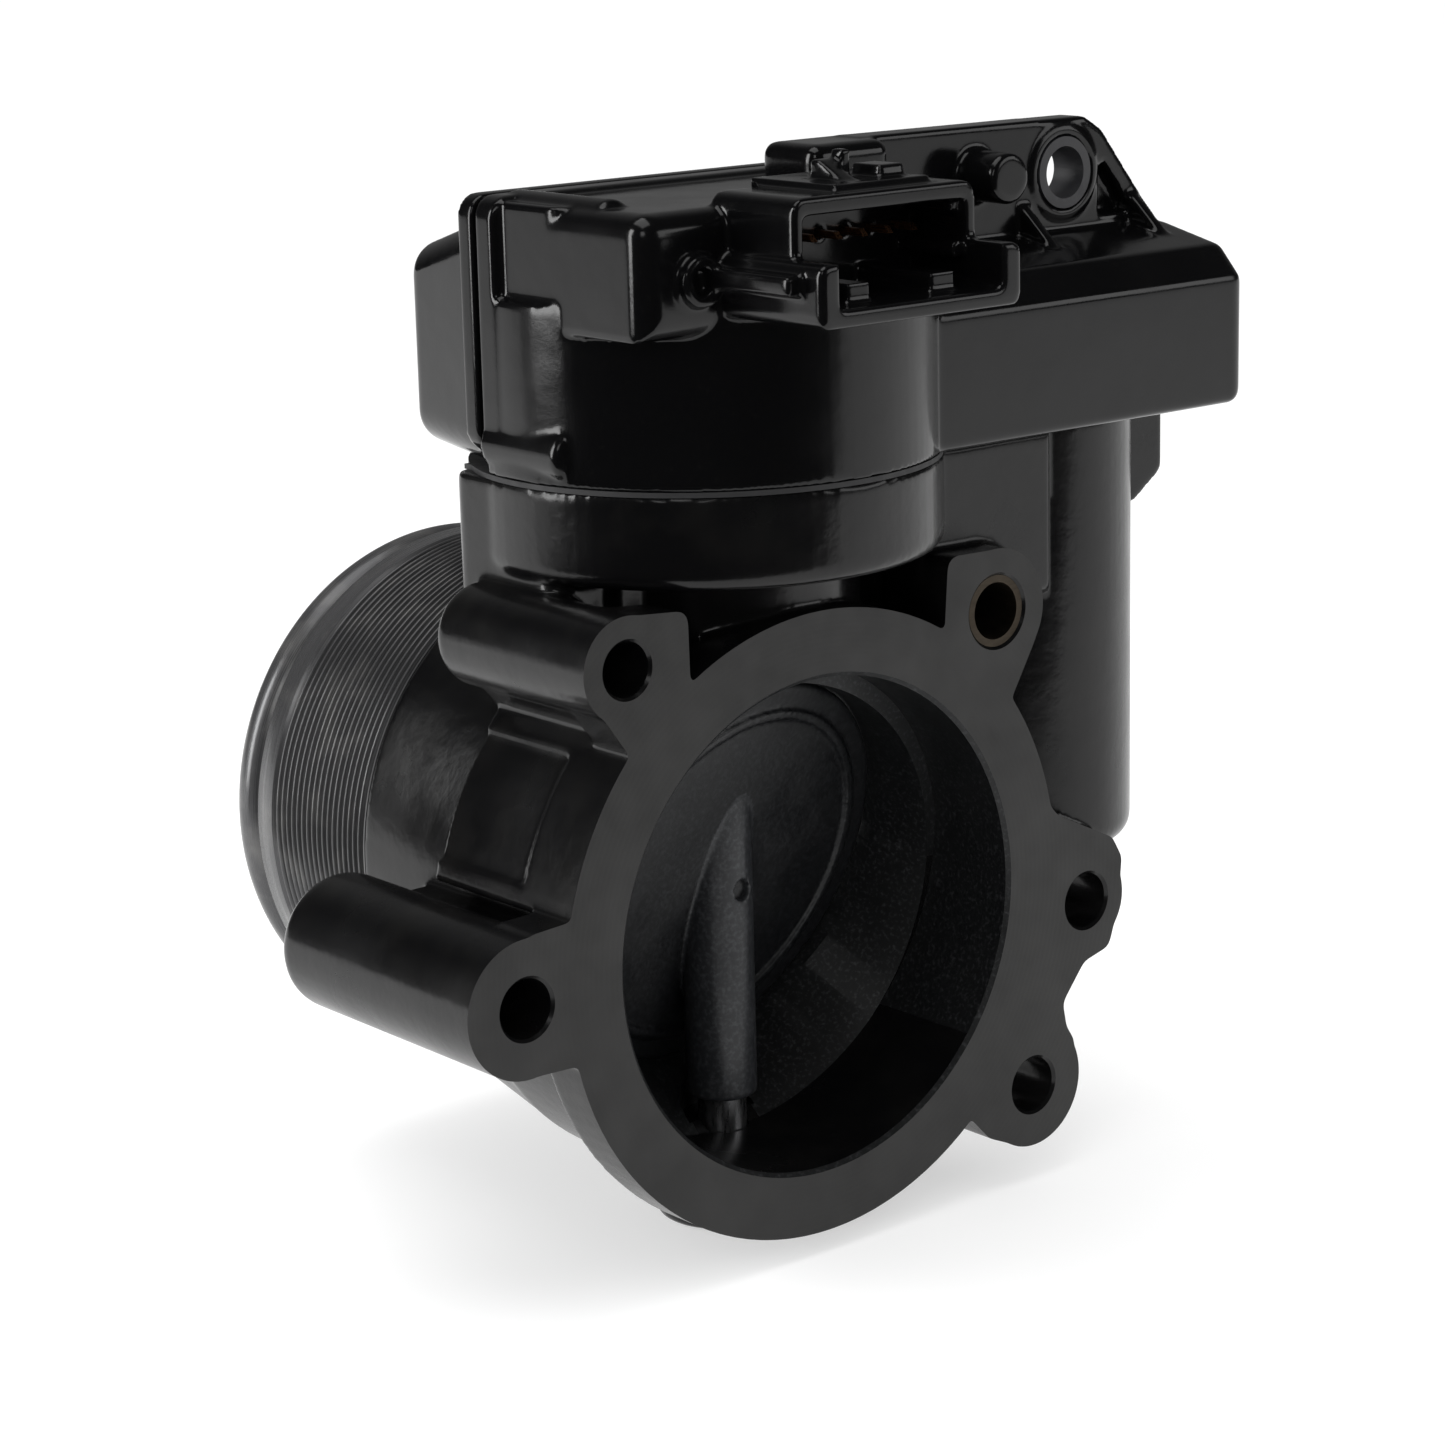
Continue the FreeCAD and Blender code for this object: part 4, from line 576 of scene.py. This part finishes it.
def spigot():
    """Hose spigot: fine round-topped ridges, a plain band, a groove and a rounded bead."""
    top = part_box("throttle_housing")[1].y
    radius = SPIGOT_BAND_RADIUS - RIDGE_HEIGHT
    profile = [(radius + 0.6 * MM, SPIGOT_START), (radius + 0.6 * MM, SPIGOT_START + 0.25 * MM),
               (radius, SPIGOT_START + 0.6 * MM)]
    for number in range(RIDGE_COUNT):
        middle = RIDGE_FIRST + number * RIDGE_PITCH
        profile.append((radius, middle - RIDGE_HALF_WIDTH))
        profile += arc(radius + RIDGE_HEIGHT - RIDGE_TIP_RADIUS, middle, RIDGE_TIP_RADIUS, -80, 80, 6)
        profile.append((radius, middle + RIDGE_HALF_WIDTH))
    profile += [(radius, 66.2 * MM), (SPIGOT_BAND_RADIUS, 66.8 * MM), (SPIGOT_BAND_RADIUS, 69.9 * MM)]
    profile += [(SPIGOT_BAND_RADIUS - 0.25 * MM, 70.2 * MM), (radius - 1.1 * MM, 70.4 * MM),
                (radius - 1.2 * MM, 71.1 * MM)]
    profile += arc(radius + 0.2 * MM - BEAD_RADIUS, top - BEAD_RADIUS, BEAD_RADIUS, -75, 88, 14)
    profile += [(SPIGOT_BORE_RADIUS + 0.5 * MM, top), (SPIGOT_BORE_RADIUS, top - 0.5 * MM),
                (SPIGOT_BORE_RADIUS, SPIGOT_START)]
    piece = lathe("hose_spigot", profile, along(SPIGOT_AXIS, INWARD), 256, closed=True)
    crisp(piece, 40)
    paint(piece, ["turned_black"])
    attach(piece, "body")


# ---------------------------------------------------------------- case, cover and butterfly


def moulded(node, grain, passes, look, body):
    piece = copy_of(node, node + "_moulded")
    soften(piece, grain, passes)
    crisp(piece, 50)
    paint(piece, [look])
    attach(piece, body)
    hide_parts(node)
    return piece


def butterfly():
    """The hub takes a paler copy of the plate's coat, a painted highlight where the rounded hub catches
    the light, so the butterfly is darker than its hub.
    """
    piece = moulded("throttle_plate", 0.25 * MM, 5, "plate_grey", "throttle")
    paint(piece, ["plate_grey", "hub_painted_highlight"],
          lambda centre, normal: int(math.hypot(centre.x - HINGE.x, centre.y - HINGE.y) < 4.7 * MM))


def case_and_cover():
    moulded("gear_housing", 0.34 * MM, 6, "black_case", "body")
    moulded("rear_cover", 0.36 * MM, 6, "black_case", "body")


def finish_nodes():
    """The pieces that keep their CAD meshes take the finish of their slot."""
    slots = {row["node"]: row["material_slot"] for row in frame["record"]["subparts"]}
    for name, node in NODES.items():
        if node.hide_render:
            continue
        node.data.materials.clear()
        node.data.materials.append(LOOKS[slots[name]])


# ---------------------------------------------------------------- stage, light and camera


# Level directions from the object: to the camera, and square to the front edge of the studio table.
TO_CAMERA = Vector((-0.636, -0.772, 0))
TO_TABLE_EDGE = Matrix.Rotation(math.radians(-13.5), 3, "Z") @ TO_CAMERA


def floor():
    """A wide pale table that ends a little in front of the object, so that the black coat's front
    reflects a dark room there and the pale table at both sides. Light comes up through its sheet."""
    material = new_material("floor", (0.57, 0.57, 0.57), 0.0, 0.8, gloss=0.0)
    shader = material.node_tree.nodes["Principled BSDF"]
    shader.inputs["Emission Color"].default_value = (1, 1, 1, 1)
    shader.inputs["Emission Strength"].default_value = 0.45
    drive(material, "Base Color", ramp(material, noise(material, 30, 4), 0.3, 0.7,
                                       (0.56, 0.56, 0.56), (0.58, 0.58, 0.58)))
    along_edge = Vector((-TO_TABLE_EDGE.y, TO_TABLE_EDGE.x, 0))
    near, far, wide = 0.12, -8.0, 8.0
    height = Vector((0, 0, CAD_BOX[0].z - 0.1 * MM))
    corners = [height + TO_TABLE_EDGE * reach + along_edge * side
               for reach, side in ((near, -wide), (near, wide), (far, wide), (far, -wide))]
    mesh = bpy.data.meshes.new("floor")
    mesh.from_pydata([tuple(corner) for corner in corners], [], [(0, 1, 2, 3)])
    mesh.materials.append(material)
    add_object("floor", mesh)


def softbox(name, place, target, width, height, power):
    data = bpy.data.lights.new(name, "AREA")
    data.shape = "RECTANGLE"
    data.size = width
    data.size_y = height
    data.energy = power
    lamp = bpy.data.objects.new(name, data)
    lamp.location = place
    lamp.rotation_mode = "QUATERNION"
    lamp.rotation_quaternion = (Vector(target) - Vector(place)).to_track_quat("-Z", "Y")
    bpy.context.scene.collection.objects.link(lamp)


def lights():
    """Soft studio light: a box overhead, a tall one at the left and back, and a weak one at the right."""
    middle = (0.02, 0.02, 0.02)
    softbox("overhead", (-0.15, 0.05, 0.75), middle, 0.7, 0.5, 2.4)
    softbox("left_back", (-0.62, 0.34, 0.22), middle, 0.22, 0.5, 3.2)
    softbox("right_front", (0.55, -0.62, 0.30), middle, 0.5, 0.3, 1.0)
    softbox("front_left", (-0.75, -0.55, 0.50), middle, 0.3, 0.3, 0.8)


def world():
    """White surroundings that light the table. In the gloss of the black coat they stay dark, apart
    from a pale wall behind the object."""
    made = bpy.data.worlds.new("studio")
    bpy.context.scene.world = made
    made.use_nodes = True
    tree = made.node_tree
    background = tree.nodes["Background"]
    background.inputs["Color"].default_value = (1, 1, 1, 1)
    place = tree.nodes.new("ShaderNodeTexCoord")
    facing = tree.nodes.new("ShaderNodeVectorMath")
    facing.operation = "DOT_PRODUCT"
    facing.inputs[1].default_value = (-TO_CAMERA + Vector((0, 0, 0.25))).normalized()
    tree.links.new(place.outputs["Generated"], facing.inputs[0])
    wall = tree.nodes.new("ShaderNodeMapRange")
    wall.interpolation_type = "SMOOTHSTEP"
    for name, number in (("From Min", 0.55), ("From Max", 0.95), ("To Min", 0.02), ("To Max", 0.16)):
        wall.inputs[name].default_value = number
    tree.links.new(facing.outputs["Value"], wall.inputs["Value"])
    path = tree.nodes.new("ShaderNodeLightPath")
    strength = tree.nodes.new("ShaderNodeMapRange")
    strength.inputs["To Min"].default_value = 1.0
    tree.links.new(path.outputs["Is Glossy Ray"], strength.inputs["Value"])
    tree.links.new(wall.outputs["Result"], strength.inputs["To Max"])
    tree.links.new(strength.outputs["Result"], background.inputs["Strength"])


def camera():
    """A long lens that looks down on the flange from its left."""
    data = bpy.data.cameras.new("camera")
    data.sensor_width = 36
    data.lens = 92.18
    eye = bpy.data.objects.new("camera", data)
    right = Vector((0.768, -0.640, -0.024)).normalized()
    forward = Vector((0.617, 0.749, -0.241)).normalized()
    down = forward.cross(right).normalized()
    turn = Matrix((right, -down, -forward)).transposed()
    eye.rotation_mode = "QUATERNION"
    eye.rotation_quaternion = turn.to_quaternion()
    eye.location = (-0.2745, -0.3152, 0.1289)
    data.clip_start = 0.01
    bpy.context.scene.collection.objects.link(eye)
    bpy.context.scene.camera = eye


casting()
spigot()
butterfly()
case_and_cover()
finish_nodes()
floor()
lights()
world()
camera()
bpy.context.scene.view_settings.view_transform = "Standard"
